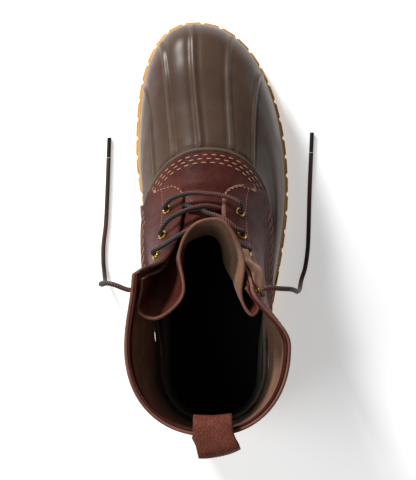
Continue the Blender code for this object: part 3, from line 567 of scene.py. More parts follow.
def noise_on(tree, place, scale, detail, output="Fac", **others):
    """A noise texture's output."""
    values = {"Vector": place, "Scale": scale, "Detail": detail, **others}
    return add_node(tree, "ShaderNodeTexNoise", values).outputs[output]


def new_group(name, inputs, outputs):
    """A shader node group with named number inputs and outputs: the tree, its inputs and its output node."""
    tree = bpy.data.node_groups.new(name, "ShaderNodeTree")
    for key, value in inputs.items():
        kind = "NodeSocketVector" if key == "Place" else "NodeSocketFloat"
        socket = tree.interface.new_socket(key, in_out="INPUT", socket_type=kind)
        if value is not None:
            socket.default_value = value
    for key in outputs:
        tree.interface.new_socket(key, in_out="OUTPUT", socket_type="NodeSocketFloat")
    return tree, tree.nodes.new("NodeGroupInput"), tree.nodes.new("NodeGroupOutput")


# %% Leather grain
def make_grain_group():
    """Pebbled grain: small cells with creases between them, broken up by a finer noise."""
    tree, given, result = new_group("leather grain", {"Place": None, "Scale": 500.0}, ("Height", "Painted crease shade"))
    place, scale = given.outputs["Place"], given.outputs["Scale"]
    warp = noise_on(tree, place, 90.0, 2.0, "Color")
    bent = add_node(tree, "ShaderNodeVectorMath", {0: warp, "Scale": 0.004}, operation="SCALE")
    moved = add_node(tree, "ShaderNodeVectorMath", {0: place, 1: bent.outputs[0]}, operation="ADD")
    cells = add_node(
        tree, "ShaderNodeTexVoronoi", {"Vector": moved.outputs[0], "Scale": scale}, feature="DISTANCE_TO_EDGE"
    )
    crease = stretched(tree, cells.outputs["Distance"], 0.0, 0.12, interpolation_type="SMOOTHSTEP")
    fine = noise_on(tree, place, 2600.0, 3.0)
    height = sum_of(tree, crease, times(tree, fine, 0.35))
    tree.links.new(height, result.inputs["Height"])
    # This output marks the grain's creases, where the leather gets painted shade.
    tree.links.new(sum_of(tree, 1.0, crease, "SUBTRACT"), result.inputs["Painted crease shade"])
    return tree


# %% Mottling
def make_mottle_group():
    """Slow, cloudy change of tone, with a finer change over it."""
    tree, given, result = new_group("mottling", {"Place": None, "Scale": 30.0}, ("Tone",))
    place, scale = given.outputs["Place"], given.outputs["Scale"]
    slow = noise_on(tree, place, scale, 3.0)
    fine = noise_on(tree, place, times(tree, scale, 7.0), 4.0)
    both = sum_of(tree, times(tree, slow, 0.65), times(tree, fine, 0.35))
    tree.links.new(stretched(tree, both, 0.35, 0.65), result.inputs["Tone"])
    return tree


GRAIN = make_grain_group()
MOTTLE = make_mottle_group()


def linear(value):
    """One display value from 0 to 255 as the linear one that materials take."""
    return ((value / 255 + 0.055) / 1.055) ** 2.4 if value > 10 else value / 255 / 12.92


def colour(*display):
    """A display colour as a linear one."""
    return (*(linear(value) for value in display), 1)


def new_material(name, roughness, metallic=0.0, **shader_values):
    """A material with its shader, its place output and its constants. Gives the tree too."""
    material = bpy.data.materials.new(name)
    material.use_nodes = True
    tree = material.node_tree
    shader = tree.nodes["Principled BSDF"]
    shader.inputs["Roughness"].default_value = roughness
    shader.inputs["Metallic"].default_value = metallic
    for key, value in shader_values.items():
        shader.inputs[key.replace("_", " ")].default_value = value
    place = tree.nodes.new("ShaderNodeTexCoord").outputs["Object"]
    return material, tree, shader, place


def use_group(tree, group, place, scale):
    return add_node(tree, "ShaderNodeGroup", {"Place": place, "Scale": scale}, node_tree=group)


def mixed(tree, share, first, second):
    """A colour between two, each plain or an output."""
    return add_node(tree, "ShaderNodeMix", {0: share, 6: first, 7: second}, data_type="RGBA").outputs[2]


def paint(tree, shader, shade):
    tree.links.new(shade, shader.inputs["Base Color"])


def vary_gloss(tree, shader, tone, dull, bright):
    """Lets the roughness follow the mottling, from dull to bright."""
    rough = add_node(tree, "ShaderNodeMapRange", {"Value": tone, "To Min": dull, "To Max": bright})
    tree.links.new(rough.outputs[0], shader.inputs["Roughness"])


def raise_by(tree, shader, height, distance):
    """Bumps the shader's normal by a height in metres."""
    bump = add_node(tree, "ShaderNodeBump", {"Height": height, "Strength": 1.0, "Distance": distance})
    tree.links.new(bump.outputs[0], shader.inputs["Normal"])


# %% [markdown]
# ## Finishes
# The leather is waxed, full-grain and reddish brown, a little shiny where light rakes it. Its flesh side is
# napped, its raw edges are pinkish tan. The rubber bottom is a greyer brown with a satin skin. Each finish
# keeps its own shader and uses the shared groups for what changes over its surface.

# %% Leather, its flesh side and its raw edge
def make_leather(name, dark, light, gloss, grain_scale, grain_depth):
    material, tree, shader, place = new_material(name, gloss, Specular_IOR_Level=0.08)
    tone = use_group(tree, MOTTLE, place, 24.0).outputs["Tone"]
    grain = use_group(tree, GRAIN, place, grain_scale)
    base = mixed(tree, tone, colour(*dark), colour(*light))
    # Painted shade: the grain's creases are mixed towards half the dark colour.
    creases = times(tree, grain.outputs["Painted crease shade"], 0.45)
    paint(tree, shader, mixed(tree, creases, base, colour(*(0.5 * c for c in dark))))
    vary_gloss(tree, shader, tone, gloss + 0.08, gloss - 0.06)
    raise_by(tree, shader, grain.outputs["Height"], grain_depth * MM)
    return material


def make_napped(name, dark, light, nap=0.16, fluff=0.08):
    """Suede, felt or a raw edge: rough, with a short nap that catches light at the edges."""
    sheen = {"Sheen_Weight": fluff, "Sheen_Roughness": 0.6}
    material, tree, shader, place = new_material(name, 0.95, Specular_IOR_Level=0.1, **sheen)
    tone = use_group(tree, MOTTLE, place, 60.0).outputs["Tone"]
    hairs = noise_on(tree, place, 1500.0, 3.0, Roughness=0.7)
    spread = stretched(tree, hairs, 0.3, 0.7)
    share = sum_of(tree, times(tree, tone, 0.5), times(tree, spread, 0.5))
    paint(tree, shader, mixed(tree, share, colour(*dark), colour(*light)))
    raise_by(tree, shader, hairs, nap * MM)
    return material


LEATHER_FACE = make_leather("brown leather", (60, 24, 20), (90, 44, 36), 0.45, 620.0, 0.10)
STRAP_FACE = make_leather("pebbled strap leather", (82, 40, 32), (126, 70, 56), 0.50, 520.0, 0.22)
FLESH_SIDE = make_napped("flesh side of the leather", (78, 51, 35), (152, 110, 80))
RAW_EDGE = make_napped("raw leather edge", (88, 52, 42), (142, 98, 82), 0.10, 0.04)
HIDE = (LEATHER_FACE, FLESH_SIDE, RAW_EDGE)
BOOTEE = make_napped("black knitted lining", (10, 11, 13), (26, 28, 32), 0.08, 0.25)


# %% Rubber
def make_rubber(name, dark, light, gloss, scale, highlight_colour=None):
    material, tree, shader, place = new_material(name, gloss, Specular_IOR_Level=0.2)
    tone = use_group(tree, MOTTLE, place, scale).outputs["Tone"]
    base = mixed(tree, tone, colour(*dark), colour(*light))
    if highlight_colour:
        # The mask is highest on the rib crests and the foot band, which are painted lighter as a highlight.
        painted_highlight = add_node(tree, "ShaderNodeAttribute", attribute_name="mask").outputs["Fac"]
        base = mixed(tree, painted_highlight, base, colour(*highlight_colour))
    paint(tree, shader, base)
    vary_gloss(tree, shader, tone, gloss + 0.05, gloss - 0.04)
    raise_by(tree, shader, noise_on(tree, place, 1900.0, 2.0), 0.03 * MM)
    return material


# The last colour is the painted highlight on the rib crests and the foot band.
SHELL_RUBBER = make_rubber("brown moulded rubber", (66, 50, 41), (86, 67, 55), 0.32, 14.0, (122, 104, 90))
# A lighter copy of the shell rubber for the bead rows: painted highlight.
BEAD_HIGHLIGHT_RUBBER = make_rubber("rubbed rim rubber", (104, 90, 76), (136, 120, 104), 0.5, 60.0)
GUM = make_rubber("tan gum rubber", (190, 138, 68), (216, 166, 92), 0.62, 40.0)
TIP_SLEEVE = make_rubber("hard lace tip", (24, 21, 20), (38, 33, 31), 0.3, 200.0)


# %% Brass and thread
def make_brass():
    material, tree, shader, place = new_material("worn brass", 0.3, 1.0)
    tone = use_group(tree, MOTTLE, place, 300.0).outputs["Tone"]
    paint(tree, shader, mixed(tree, tone, colour(132, 108, 48), colour(206, 176, 92)))
    return material


def make_thread():
    material, tree, shader, place = new_material("waxed thread", 0.6)
    twist = add_node(tree, "ShaderNodeTexWave", {"Vector": place, "Scale": 900.0, "Distortion": 2.0})
    paint(tree, shader, mixed(tree, twist.outputs["Fac"], colour(150, 98, 80), colour(198, 146, 122)))
    return material


BRASS = make_brass()
THREAD = make_thread()


# %% [markdown]
# ## The lace
# The lace is a round braid, 3.3 mm thick, of black and grey strands with a red-brown stripe that winds
# slowly round it. It leaves the top eyelet on each side, drops beside the shaft and lies forward on the
# floor. Its length is what the photo shows. The braid is drawn on the cord's own map, so that it bends with
# it.

# %% Braid
def make_braid():
    """Two sets of strands that wind round the cord in opposite ways, and a slow coloured stripe."""
    material, tree, shader, _ = new_material("braided cord", 0.75)
    girth = math.pi * LACE_WIDTH * MM
    sheet_map = add_node(tree, "ShaderNodeUVMap", uv_map="UVMap").outputs[0]
    parts = add_node(tree, "ShaderNodeSeparateXYZ", {0: sheet_map})
    turn = times(tree, parts.outputs["X"], 1 / girth)

    def strands(pitch, around):
        along_cord = times(tree, parts.outputs["Y"], 1 / pitch)
        winding = sum_of(tree, along_cord, times(tree, turn, around))
        return sum_of(tree, times(tree, winding, 2 * math.pi), 0.0, "SINE")

    one, two = strands(0.0020, 4.0), strands(0.0020, -4.0)
    height = sum_of(tree, one, two, "MAXIMUM")
    stripe = stretched(tree, strands(0.07, 1.0), -0.1, 0.15)
    fleck = stretched(tree, one, 0.55, 0.9)
    dark = mixed(tree, fleck, colour(14, 13, 13), colour(74, 73, 70))
    warm = mixed(tree, fleck, colour(48, 20, 17), colour(142, 78, 64))
    both = mixed(tree, stripe, dark, warm)
    # Painted shade: the low parts between the strands are mixed towards near black.
    painted_strand_shade = stretched(tree, height, -0.2, 0.6)
    paint(tree, shader, mixed(tree, painted_strand_shade, colour(10, 9, 9), both))
    raise_by(tree, shader, height, 0.10 * MM)
    return material


BRAID = make_braid()


# %% Routes of the lace
# The points that the lace passes, as shares: across of BALL_WIDTH, along of BOOT_LENGTH from the heel's
# back, and up of SHAFT_HEIGHT. The low points lie on the ground.
BAR_ROUTE = (
    (-0.273, 0.556, 0.505), (-0.200, 0.567, 0.518), (-0.116, 0.571, 0.523), (-0.042, 0.569, 0.523),
    (0.023, 0.567, 0.523), (0.116, 0.558, 0.526), (0.171, 0.546, 0.531),
)
STRAND_ROUTE_IN = (
    (-0.288, 0.506, 0.566),
    (-0.219, 0.522, 0.556), (-0.135, 0.535, 0.541), (-0.050, 0.541, 0.528), (0.032, 0.536, 0.512),
)
STRAND_ROUTE_OUT = (
    (0.143, 0.486, 0.583),
    (0.084, 0.505, 0.580), (0.017, 0.517, 0.556), (-0.042, 0.524, 0.538), (-0.084, 0.533, 0.525),
    (-0.134, 0.537, 0.512), (-0.165, 0.540, 0.506),
)
UPPER_BAR_ROUTE = (
    (-0.310, 0.448, 0.628),
    (-0.232, 0.467, 0.636), (-0.143, 0.485, 0.618), (-0.045, 0.496, 0.613), (0.045, 0.479, 0.638),
)


def route_points(route):
    """A route's points in millimetres, none of them lower than the cord can lie."""
    lowest = LACE_WIDTH / 2 + GAP
    return [np.array([x * BALL_WIDTH, along(y), max(lowest, up * SHAFT_HEIGHT)]) for x, y, up in route]


# %% Free ends of the lace
# The lace's free ends, from the top eyelet to the tip.
END_ROUTE_IN = (
    (-0.607, 0.362, 0.913), (-0.665, 0.363, 0.867), (-0.688, 0.360, 0.769), (-0.705, 0.355, 0.513),
    (-0.719, 0.352, 0.205), (-0.725, 0.355, 0.072), (-0.734, 0.373, 0.018), (-0.743, 0.407, 0.0),
    (-0.741, 0.450, 0.0), (-0.726, 0.498, 0.0), (-0.717, 0.563, 0.0), (-0.707, 0.667, 0.0),
)
END_ROUTE_OUT = (
    (0.402, 0.352, 0.931), (0.464, 0.350, 0.892), (0.496, 0.345, 0.800), (0.527, 0.339, 0.538),
    (0.567, 0.340, 0.215), (0.582, 0.345, 0.072), (0.596, 0.362, 0.018), (0.619, 0.388, 0.0),
    (0.636, 0.430, 0.0), (0.643, 0.477, 0.0), (0.650, 0.577, 0.0), (0.661, 0.680, 0.0),
)


def top_eyelet(side):
    """The lace's way out of the top eyelet: the ring's middle, and the normal there."""
    point, normal = beside_throat(side, EYELET_INSET, up_throat(side, EYELETS_A_SIDE - 1))
    return point + normal * (QUARTER_FACE + TRIM_GAP), normal


for word, side, route in (("inner", 1, END_ROUTE_IN), ("outer", -1, END_ROUTE_OUT)):
    start, normal = top_eyelet(side)
    path = smooth_curve([start, start + normal * 4.0, *route_points(route)], 150)
    end = make_cord(f"lace_tail_{word}", path, LACE_WIDTH, BRAID, [f"lace_end_{word}"])
    run = (path[-1] - path[-2]) * (1, 1, 0)
    run /= np.linalg.norm(run)
    first = path[-1] + run * GAP
    sleeve = smooth_curve([first, first + run * TIP_LENGTH / 2, first + run * TIP_LENGTH], 12)
    tip = make_cord(
        f"lace_sleeve_{word}", sleeve, LACE_WIDTH * 0.95, TIP_SLEEVE, [f"lace_tip_{word}"]
    )


# %% [markdown]
# ## The rubber shell
# The bottom of the boot is one moulding: a smooth wall, five raised ribs that fan out from the leather over
# the toe, slightly puffed panels between them, and a round bead where the leather dives in. A fine grid is
# laid on the last, and the ribs and puffs are heights added to it, because a moulding has no seams.

# %% Stations round the boot
def even_stations(level, count, first=BACK_STATION, last=-BACK_STATION):
    """Stations at even distances along a level's loop, from the back round the inner side and the toe."""
    fine = np.linspace(first, last, 1500)
    loop = np.array([loop_point(LEVELS[level], s) for s in fine])
    lengths = np.concatenate([[0.0], np.cumsum(np.linalg.norm(np.diff(loop, axis=0), axis=1))])
    return np.interp(np.linspace(0, lengths[-1], count), lengths, fine)


def shell_column(at_line):
    """The column of the shell that reaches the leather at a station. Towards the sole the ribs spread."""
    anchors = [(-BACK_STATION, -BACK_STATION), (-1.0, -1.0)]
    anchors += [(rib.at_line, rib.at_edge) for rib in reversed(RIBS)]
    anchors += [(1.0, 1.0), (BACK_STATION, BACK_STATION)]
    at_edge = float(np.interp(at_line, *zip(*anchors)))
    return Column([shifted(mix(at_edge, at_line, min(1.0, k / LINE)), k) for k in range(len(LEVELS))])


def lifted(grid, normals, lift):
    """The points of a grid raised along their normals, by one height for each point or row."""
    return grid + normals * np.broadcast_to(lift, grid.shape[:2])[:, :, None]


# %% Shell
WALL_ROWS, BEAD_ROWS = 45, 9
# The bead's rows take the lighter rubber, a painted highlight.
BEAD_HIGHLIGHT_ROWS = range(50, 54)


def shell_points():
    """The shell's outer points, with its ribs, panels, foot band and bead, and a mask of painted highlight.
    """
    stations = even_stations(1, 600 // COARSE)
    grid, shares = [], []
    for station in stations:
        column = shell_column(station)
        line = column.length_at(LINE)
        wall = [mix(0.0, line - BEAD_WIDTH - 0.9, k / (WALL_ROWS - 1)) for k in range(WALL_ROWS)]
        bead = column.spread(line - BEAD_WIDTH - 0.6, line - 0.35, BEAD_ROWS)
        points = [column.at(place) for place in wall]
        grid.append([*points, *bead, column.at(line - 0.2), column.at(line + 6.0)])
        shares.append([min(1.0, place / line) for place in wall])
    grid = np.array(grid)
    normals = normals_of(grid)
    ring = np.sin(np.linspace(0, math.pi, BEAD_ROWS)) ** 0.7
    lift = np.full(grid.shape[:2], SHELL_OUT)
    # The bead is lower along the flanks than round the toe.
    lower = np.array([mix(1.0, 0.35, smooth((abs(station) - 0.75) / 0.15)) for station in stations])
    lift[:, WALL_ROWS:WALL_ROWS + BEAD_ROWS] += BEAD_HEIGHT * ring * lower[:, None]
    lift[:, WALL_ROWS + BEAD_ROWS:] = -0.2
    steps = np.linalg.norm(np.diff(grid, axis=0), axis=2)
    around = np.concatenate([np.zeros((1, grid.shape[1])), np.cumsum(steps, axis=0)])
    wall_share = np.array(shares)
    fade = np.clip((wall_share - 0.09) / 0.10, 0, 1) * np.clip((1.0 - wall_share) / 0.05, 0.25, 1)
    order = np.array(stations)
    mask = np.zeros(grid.shape[:2])
    wall_lift, wall_highlight_mask = lift[:, :WALL_ROWS], mask[:, :WALL_ROWS]
    for rib in RIBS:
        middle = np.array([np.interp(-rib.at_line, -order, around[:, j]) for j in range(WALL_ROWS)])
        beside = np.abs(around[:, :WALL_ROWS] - middle) / (RIB_WIDTH * 0.5)
        wall_lift += fade * RIB_HEIGHT * np.exp(-((beside / 0.72) ** 2.6))
        wall_lift -= fade * 0.25 * np.exp(-(((beside - 1.7) / 0.5) ** 2))
        # Painted highlight: each rib's crest is marked for a lighter colour.
        painted_highlight = 0.5 * fade * np.exp(-(((beside + 0.25) / 0.4) ** 2))
        np.maximum(wall_highlight_mask, painted_highlight, out=wall_highlight_mask)
    for before, after in zip(RIBS, RIBS[1:]):
        share = np.clip((order - before.at_line) / (after.at_line - before.at_line), 0, 1)
        wall_lift += fade * PANEL_BULGE * np.sin(math.pi * share)[:, None] ** 0.8
    band = 0.55 * (1 - np.clip((wall_share - 0.10) / 0.015, 0, 1))
    wall_lift += band
    # The foot band is marked for painted highlight too.
    np.maximum(wall_highlight_mask, 0.6 * band, out=wall_highlight_mask)
    return lifted(grid, normals, lift), mask


shell_grid, rib_highlight_mask = shell_points()
shell = place_piece(
    "rubber_shell_skin",
    bent_grid(shell_grid, closed=True, other=lambda column, row: int(row in BEAD_HIGHLIGHT_ROWS), mask=rib_highlight_mask),
    [SHELL_RUBBER, BEAD_HIGHLIGHT_RUBBER], ["rubber_shell"], 60,
)
give_thickness(shell, 2.4)
print("shell points:", len(shell.data.vertices))

# %% [markdown]
# ## The leather of the shaft
# The two quarters and the shaft are one sheet, open in front. It starts above the rubber bead, and at the
# throat its lower front corners are cut round. The vamp lies under it and shows between the bead and the
# corners. Both are grids on the last; the shaft also gets the soft troughs that wear has put round the ankle.

# %% Soft creases
# A trough for each row: the side of the boot, its two ends as length along the foot and height, its width and
# its depth. Ridges are troughs with a negative depth. All in millimetres.
Crease = namedtuple("Crease", "side y1 z1 y2 z2 width depth")
CREASES = (
    Crease(1, 96, 66, 40, 88, 6.0, 1.3),
    Crease(1, 88, 78, 46, 98, 5.0, -0.8),
    Crease(1, 84, 90, 30, 104, 6.0, 1.1),
    Crease(1, 60, 120, 8, 112, 8.0, 0.9),
    Crease(1, 52, 150, 20, 140, 7.0, 0.7),
    Crease(-1, 100, 68, 44, 84, 6.0, 1.3),
    Crease(-1, 90, 80, 50, 96, 5.0, -0.9),
    Crease(-1, 82, 94, 26, 106, 6.5, 1.2),
    Crease(-1, 66, 116, 10, 118, 8.0, 1.0),
    Crease(-1, 60, 150, 18, 136, 7.0, 0.8),
    Crease(-1, 40, 172, 4, 160, 8.0, 0.7),
    Crease(1, -10, 96, 18, 84, 6.0, 0.7),
    Crease(-1, -12, 92, 16, 86, 6.0, 0.8),
)


def crease_depth(points):
    """How far the creases press each point of a grid in."""
    depth = np.zeros(points.shape[:2])
    for crease in CREASES:
        start, end = np.array([crease.y1, crease.z1]), np.array([crease.y2, crease.z2])
        run = end - start
        flat = points[:, :, 1:] - start
        share = np.clip(flat @ run / (run @ run), 0, 1)
        distance = np.linalg.norm(flat - share[:, :, None] * run, axis=2)
        taper = np.sin(math.pi * np.clip(share, 0.04, 0.96)) ** 0.5
        same_side = np.clip(-crease.side * (points[:, :, 0] + 4) / 12, 0, 1)
        depth += crease.depth * taper * same_side * np.exp(-((distance / crease.width) ** 2))
    return depth


# %% Columns of the quarters
ROUND_CORNER = 9.0
# The front edge: where its corner is across, how far along the foot, and how much it runs back beside it
CORNER_X = {1: -27.0, -1: 18.0}
CORNER_Y = 144.5
EDGE_SLOPE = 0.27
FLANK_Y = 138.0


def front_edge(column, side):
    """How far up a column the quarter starts. Its front edge runs from the corner down to the rubber."""
    line = column.length_at(LINE) + 1.0
    if column.at(line)[1] < FLANK_Y:
        return line
    places = np.linspace(line, column.length_at(THROAT) + 6.0, 60)
    points = np.array([column.at(p) for p in places])
    edge_y = CORNER_Y - EDGE_SLOPE * np.abs(points[:, 0] - CORNER_X[side])
    behind = points[:, 1] < edge_y
    return float(places[np.argmax(behind)]) if behind.any() else line


def quarter_sheet(side, insets, count):
    """Columns of one quarter from the throat's edge to the back, each with the place where it starts."""
    sheet = []
    for inset in insets:
        column = Column(inset_stations(side, inset))
        corner = max(0.0, ROUND_CORNER - inset)
        rounding = ROUND_CORNER - math.sqrt(ROUND_CORNER**2 - corner**2)
        sheet.append((column, front_edge(column, side) + rounding))
    first = abs(SEAMS[side][0])
    for k in range(1, count):
        c = mix(first, BACK_STATION, k / count)
        column = Column([shifted(side * c, level) for level in range(len(LEVELS))])
        sheet.append((column, front_edge(column, side)))
    return sheet


FINE_INSETS = np.linspace(0, FACING_INSETS[-1], 24 // COARSE)
back = Column([BACK_STATION] * len(LEVELS))
outer_quarter = quarter_sheet(-1, FINE_INSETS, 80 // COARSE)
inner_quarter = quarter_sheet(1, FINE_INSETS, 80 // COARSE)
SHEET = [*outer_quarter, (back, back.length_at(LINE) + 1.0), *reversed(inner_quarter)]
ROWS_UP = 84 // COARSE


def sheet_points(columns, low, high, rows, lift, crease=True):
    """Points of a sheet on some columns, from a place near its start to a place near the collar."""
    grid = []
    for column, start in columns:
        bottom, top = low(column, start), high(column, start)
        grid.append(column.spread(bottom, top, rows))
    grid = np.array(grid)
    normals = normals_of(grid)
    if crease:
        lift = lift - crease_depth(grid)
    return lifted(grid, normals, lift)


# %% Quarters and shaft
QUARTER_WALL = 2.1
CUT_COLUMNS = max(1, 2 // COARSE)


def cut_edge(column, row):
    """The bevelled cut along the outer quarter's facing and round its corner shows raw leather."""
    at_corner = row == 0 and column < len(FINE_INSETS) // 2
    return 2 if column < CUT_COLUMNS or at_corner else 0


def quarter_points():
    facing = np.ones((len(SHEET), ROWS_UP))
    facing[0] = 0.25
    facing[:len(FINE_INSETS) // 2, 0] = 0.25
    facing[-1] = 0.5
    lift = QUARTER_FACE - 1.6 * (1 - facing)
    return sheet_points(SHEET, lambda c, s: s, lambda c, s: c.lengths[-1], ROWS_UP, lift)


quarters = make_sheet(
    "quarters", quarter_points(), HIDE, QUARTER_WALL, ["upper"], other=cut_edge
)
print("quarters points:", len(quarters.data.vertices))

# %% Hem inside the collar
HEM_FACE = QUARTER_FACE - QUARTER_WALL - 0.1


def collar_hem_points():
    inner = sheet_points(
        SHEET, lambda c, s: c.lengths[-1] - HEM_WIDTH, lambda c, s: c.lengths[-1] - 0.3, 8, HEM_FACE - 1.6
    )
    return inner[::-1]


make_sheet(
    "collar_hem", collar_hem_points(), (LEATHER_FACE, FLESH_SIDE, LEATHER_FACE), wall=1.4
)


# %% Vamp
VAMP_END = 0.92
VAMP_ROWS = 30


def vamp_column(station):
    """A column that runs straight up to the leather line and is pushed back by the throat above it."""
    return Column([shifted(station, k) if k > LINE else station for k in range(len(LEVELS))])


def vamp_points():
    """The vamp from above the bead to under the quarters, and a little up the throat under the first lace."""
    stations = np.linspace(VAMP_END, -VAMP_END, 120 // COARSE)
    grid, lift = [], []
    for station in stations:
        column = vamp_column(station)
        line, throat = column.length_at(LINE) + 1.0, column.length_at(THROAT)
        open_edge = THROAT_EDGES[0].inner if station > 0 else THROAT_EDGES[0].outer
        middle = 1 - smooth((abs(station) / open_edge - 0.75) / 0.5)
        top = throat + 4.0 + 13.0 * middle
        grid.append(column.spread(line, top, VAMP_ROWS))
        places = [mix(line, top, k / (VAMP_ROWS - 1)) for k in range(VAMP_ROWS)]
        under = np.array([smooth((place - (throat - 5.0)) / 6.0) for place in places])
        lift.append(SEAM_GAP + LEATHER - under * mix(1.7, 2.2, middle))
    grid = np.array(grid)
    return lifted(grid, normals_of(grid), np.array(lift))


make_sheet("vamp", vamp_points(), HIDE, wall=1.6)


# %% [markdown]
# ## Tongue
# The tongue is a bellows: one sheet sewn inside both quarters, with a fold of spare leather at each side
# that keeps water out. Loosely laced, its top stands up in a tube in front of the leg. A row of the table
# gives its plan at one height. Smooth curves through the rows, first across and then upward, give a fine
# sheet.

# %% Tongue's plan at each height
# The tongue, a row for each height. rise is a share of SHAFT_HEIGHT, lap_in and lap_out are how far the
# gusset runs back inside the quarter and fold_in and fold_out how far it bulges behind that, as shares of
# GUSSET_DEPTH. side_in, side_out and apex_x are shares of TONGUE_WIDTH, root_in, root_out and apex_y shares
# of BOOT_LENGTH from the heel's back. folded goes from 0, flat under the quarters, to 1, a full bellows.
TONGUE_WIDTH = 43.0
GUSSET_DEPTH = 26.0
TONGUE_DEPTH = 1.2
Fold = namedtuple(
    "Fold", "rise lap_in lap_out fold_in fold_out side_in side_out root_in root_out apex_x apex_y folded"
)
TONGUE = (
    Fold(0.470, 0.30, 0.30, 0.1, 0.1, -0.50, 0.16, 0.47, 0.47, -0.16, 0.557, 0.0),
    Fold(0.515, 0.30, 0.30, 0.1, 0.1, -0.50, 0.16, 0.45, 0.45, -0.16, 0.508, 0.0),
    Fold(0.575, 0.50, 0.35, 0.1, 0.1, -0.50, 0.13, 0.42, 0.42, -0.15, 0.480, 0.4),
    Fold(0.650, 0.75, 0.50, 0.15, 0.1, -0.50, 0.17, 0.39, 0.40, -0.14, 0.474, 0.8),
    Fold(0.740, 0.95, 0.65, 0.14, 0.12, -0.50, 0.26, 0.36, 0.38, -0.13, 0.478, 1.0),
    Fold(0.850, 1.00, 0.75, 0.16, 0.15, -0.50, 0.33, 0.345, 0.36, -0.12, 0.492, 1.0),
    Fold(0.960, 1.00, 0.80, 0.17, 0.18, -0.48, 0.42, 0.340, 0.335, -0.12, 0.505, 1.0),
)


# Two points of the tongue's front on each side, as shares of the way across and forward from its root to
# its apex.
TONGUE_FRONT = {1: ((-0.16, 0.52), (0.25, 0.86)), -1: ((-0.06, 0.50), (0.43, 0.95))}


def tongue_side(row, side, centre):
    """The points of one half of the tongue at one height, from its edge on the quarter to beside the apex."""
    lap, fold = (row.lap_in, row.fold_in) if side > 0 else (row.lap_out, row.fold_out)
    side_x, root_y = (row.side_in, row.root_in) if side > 0 else (row.side_out, row.root_out)
    height = row.rise * SHAFT_HEIGHT
    inset_depth = TONGUE_DEPTH + TONGUE_THICKNESS / 2

    def under(inset):
        point, normal = skin_place(side, inset, min(height, SHAFT_HEIGHT - 1.5) - (1 - row.folded) * 5.0)
        return point - normal * inset_depth

    flat = [under(inset) for inset in (13.0, 10.5, 8.0, 5.0, 2.0)]
    flat += [mix(flat[-1], centre, 0.3), mix(flat[-1], centre, 0.6)]
    depth = lap * GUSSET_DEPTH
    laps = [under(inset) for inset in (4.5, depth / 2, depth)]
    root = np.array([side_x * TONGUE_WIDTH, along(root_y), height])
    turn = mix(laps[-1], root, 0.45)
    turn[1] = min(laps[-1][1], root[1]) - fold * GUSSET_DEPTH
    shares = TONGUE_FRONT[side]
    front = [np.array([mix(root[0], centre[0], x), mix(root[1], centre[1], y), height]) for x, y in shares]
    bellows = [*laps, turn, root, *front]
    return [mix(a, b, row.folded) for a, b in zip(flat, bellows)]


# %% Tongue
def tongue_points():
    across, up = 110 // COARSE, 60 // COARSE
    sheets = []
    for row in TONGUE:
        centre = np.array([row.apex_x * TONGUE_WIDTH, along(row.apex_y), row.rise * SHAFT_HEIGHT])
        points = [*tongue_side(row, 1, centre), centre, *reversed(tongue_side(row, -1, centre))]
        sheets.append(smooth_curve(points, across))
    sheets = np.array(sheets)
    grid = np.array([smooth_curve(sheets[:, i], up) for i in range(across)])
    normals = normals_of(grid)
    share = np.linspace(0, 1, up)[None, :]
    around = np.linspace(0, 1, across)[:, None]
    waves = 0.5 * np.sin(9 * math.pi * around + 5 * share) * np.sin(math.pi * share) * (0.3 + share)
    return lifted(grid, normals, waves)


make_sheet(
    "tongue_sheet", tongue_points(), HIDE, 2.0, ["tongue"], offset=0.0
)


# %% [markdown]
# ## Pull loop
# A strap of pebbled leather, sewn outside the back of the shaft, bent over the collar and sewn inside.

# %% Pull loop
def strap_points(columns, count):
    on_quarter = QUARTER_FACE + TRIM_GAP + STRAP_THICKNESS / 2
    in_hem = SEAM_GAP - HEM_STEP - TRIM_GAP - STRAP_THICKNESS / 2
    arch = ((9.0, 2.0), (13.0, 7.0), (11.0, 12.0), (2.0, STRAP_RISE), (-5.5, 12.0), (-9.0, 6.0), (-7.0, -2.0))
    grid = []
    for beside in np.linspace(-0.5, 0.5, columns):
        around = 2.0 + beside * STRAP_WIDTH
        start = BACK_STATION if around < 0 else -BACK_STATION
        column = Column([station_after(level, start, around) for level in LEVELS])
        top = column.lengths[-1]
        edge = column.at(top)
        middle = np.array([0.0, along(SHAFT[-1].heel_y), 0.0])
        outward = (edge - middle) * (1, 1, 0)
        outward /= np.linalg.norm(outward)
        outward = mix(outward, np.array([0.0, -1.0, 0.0]), 0.85)
        outward /= np.linalg.norm(outward)
        path = [column.at(top - down) + outward * on_quarter for down in (42.0, 28.0, 14.0, 4.0)]
        # The loop leans towards the outer side, so its inner corner stands out further.
        for out, up in arch:
            lean = max(0.0, out) / 13.0
            path.append(edge + outward * (out + lean * (1.5 - 5.0 * beside)) + np.array([4.5 * lean, 0, up]))
        path += [column.at(top - down) + outward * in_hem for down in (8.0, 16.0, 24.0)]
        grid.append(smooth_curve(path, count))
    return np.array(grid)[::-1]


STRAP_COLUMNS = 17
STRAP = strap_points(STRAP_COLUMNS, 90 // COARSE)
crown = 0.5 * (1 - np.linspace(-1, 1, STRAP_COLUMNS) ** 4)[:, None]
make_sheet(
    "pull_loop_strap", lifted(STRAP, normals_of(STRAP), crown), (STRAP_FACE, STRAP_FACE, RAW_EDGE),
    STRAP_THICKNESS, ["pull_loop"], offset=0.0,
)


# %% [markdown]
# ## Lining
# Inside the rubber the boot has a black knitted bootee. It ends a little above the rubber, where the flesh
# side of the shaft begins.

# %% Lining
LINING_ROWS = 30
# How far above the leather line the lining ends, on the inner and the outer side
LINING_IN, LINING_OUT = 15.0, -3.0


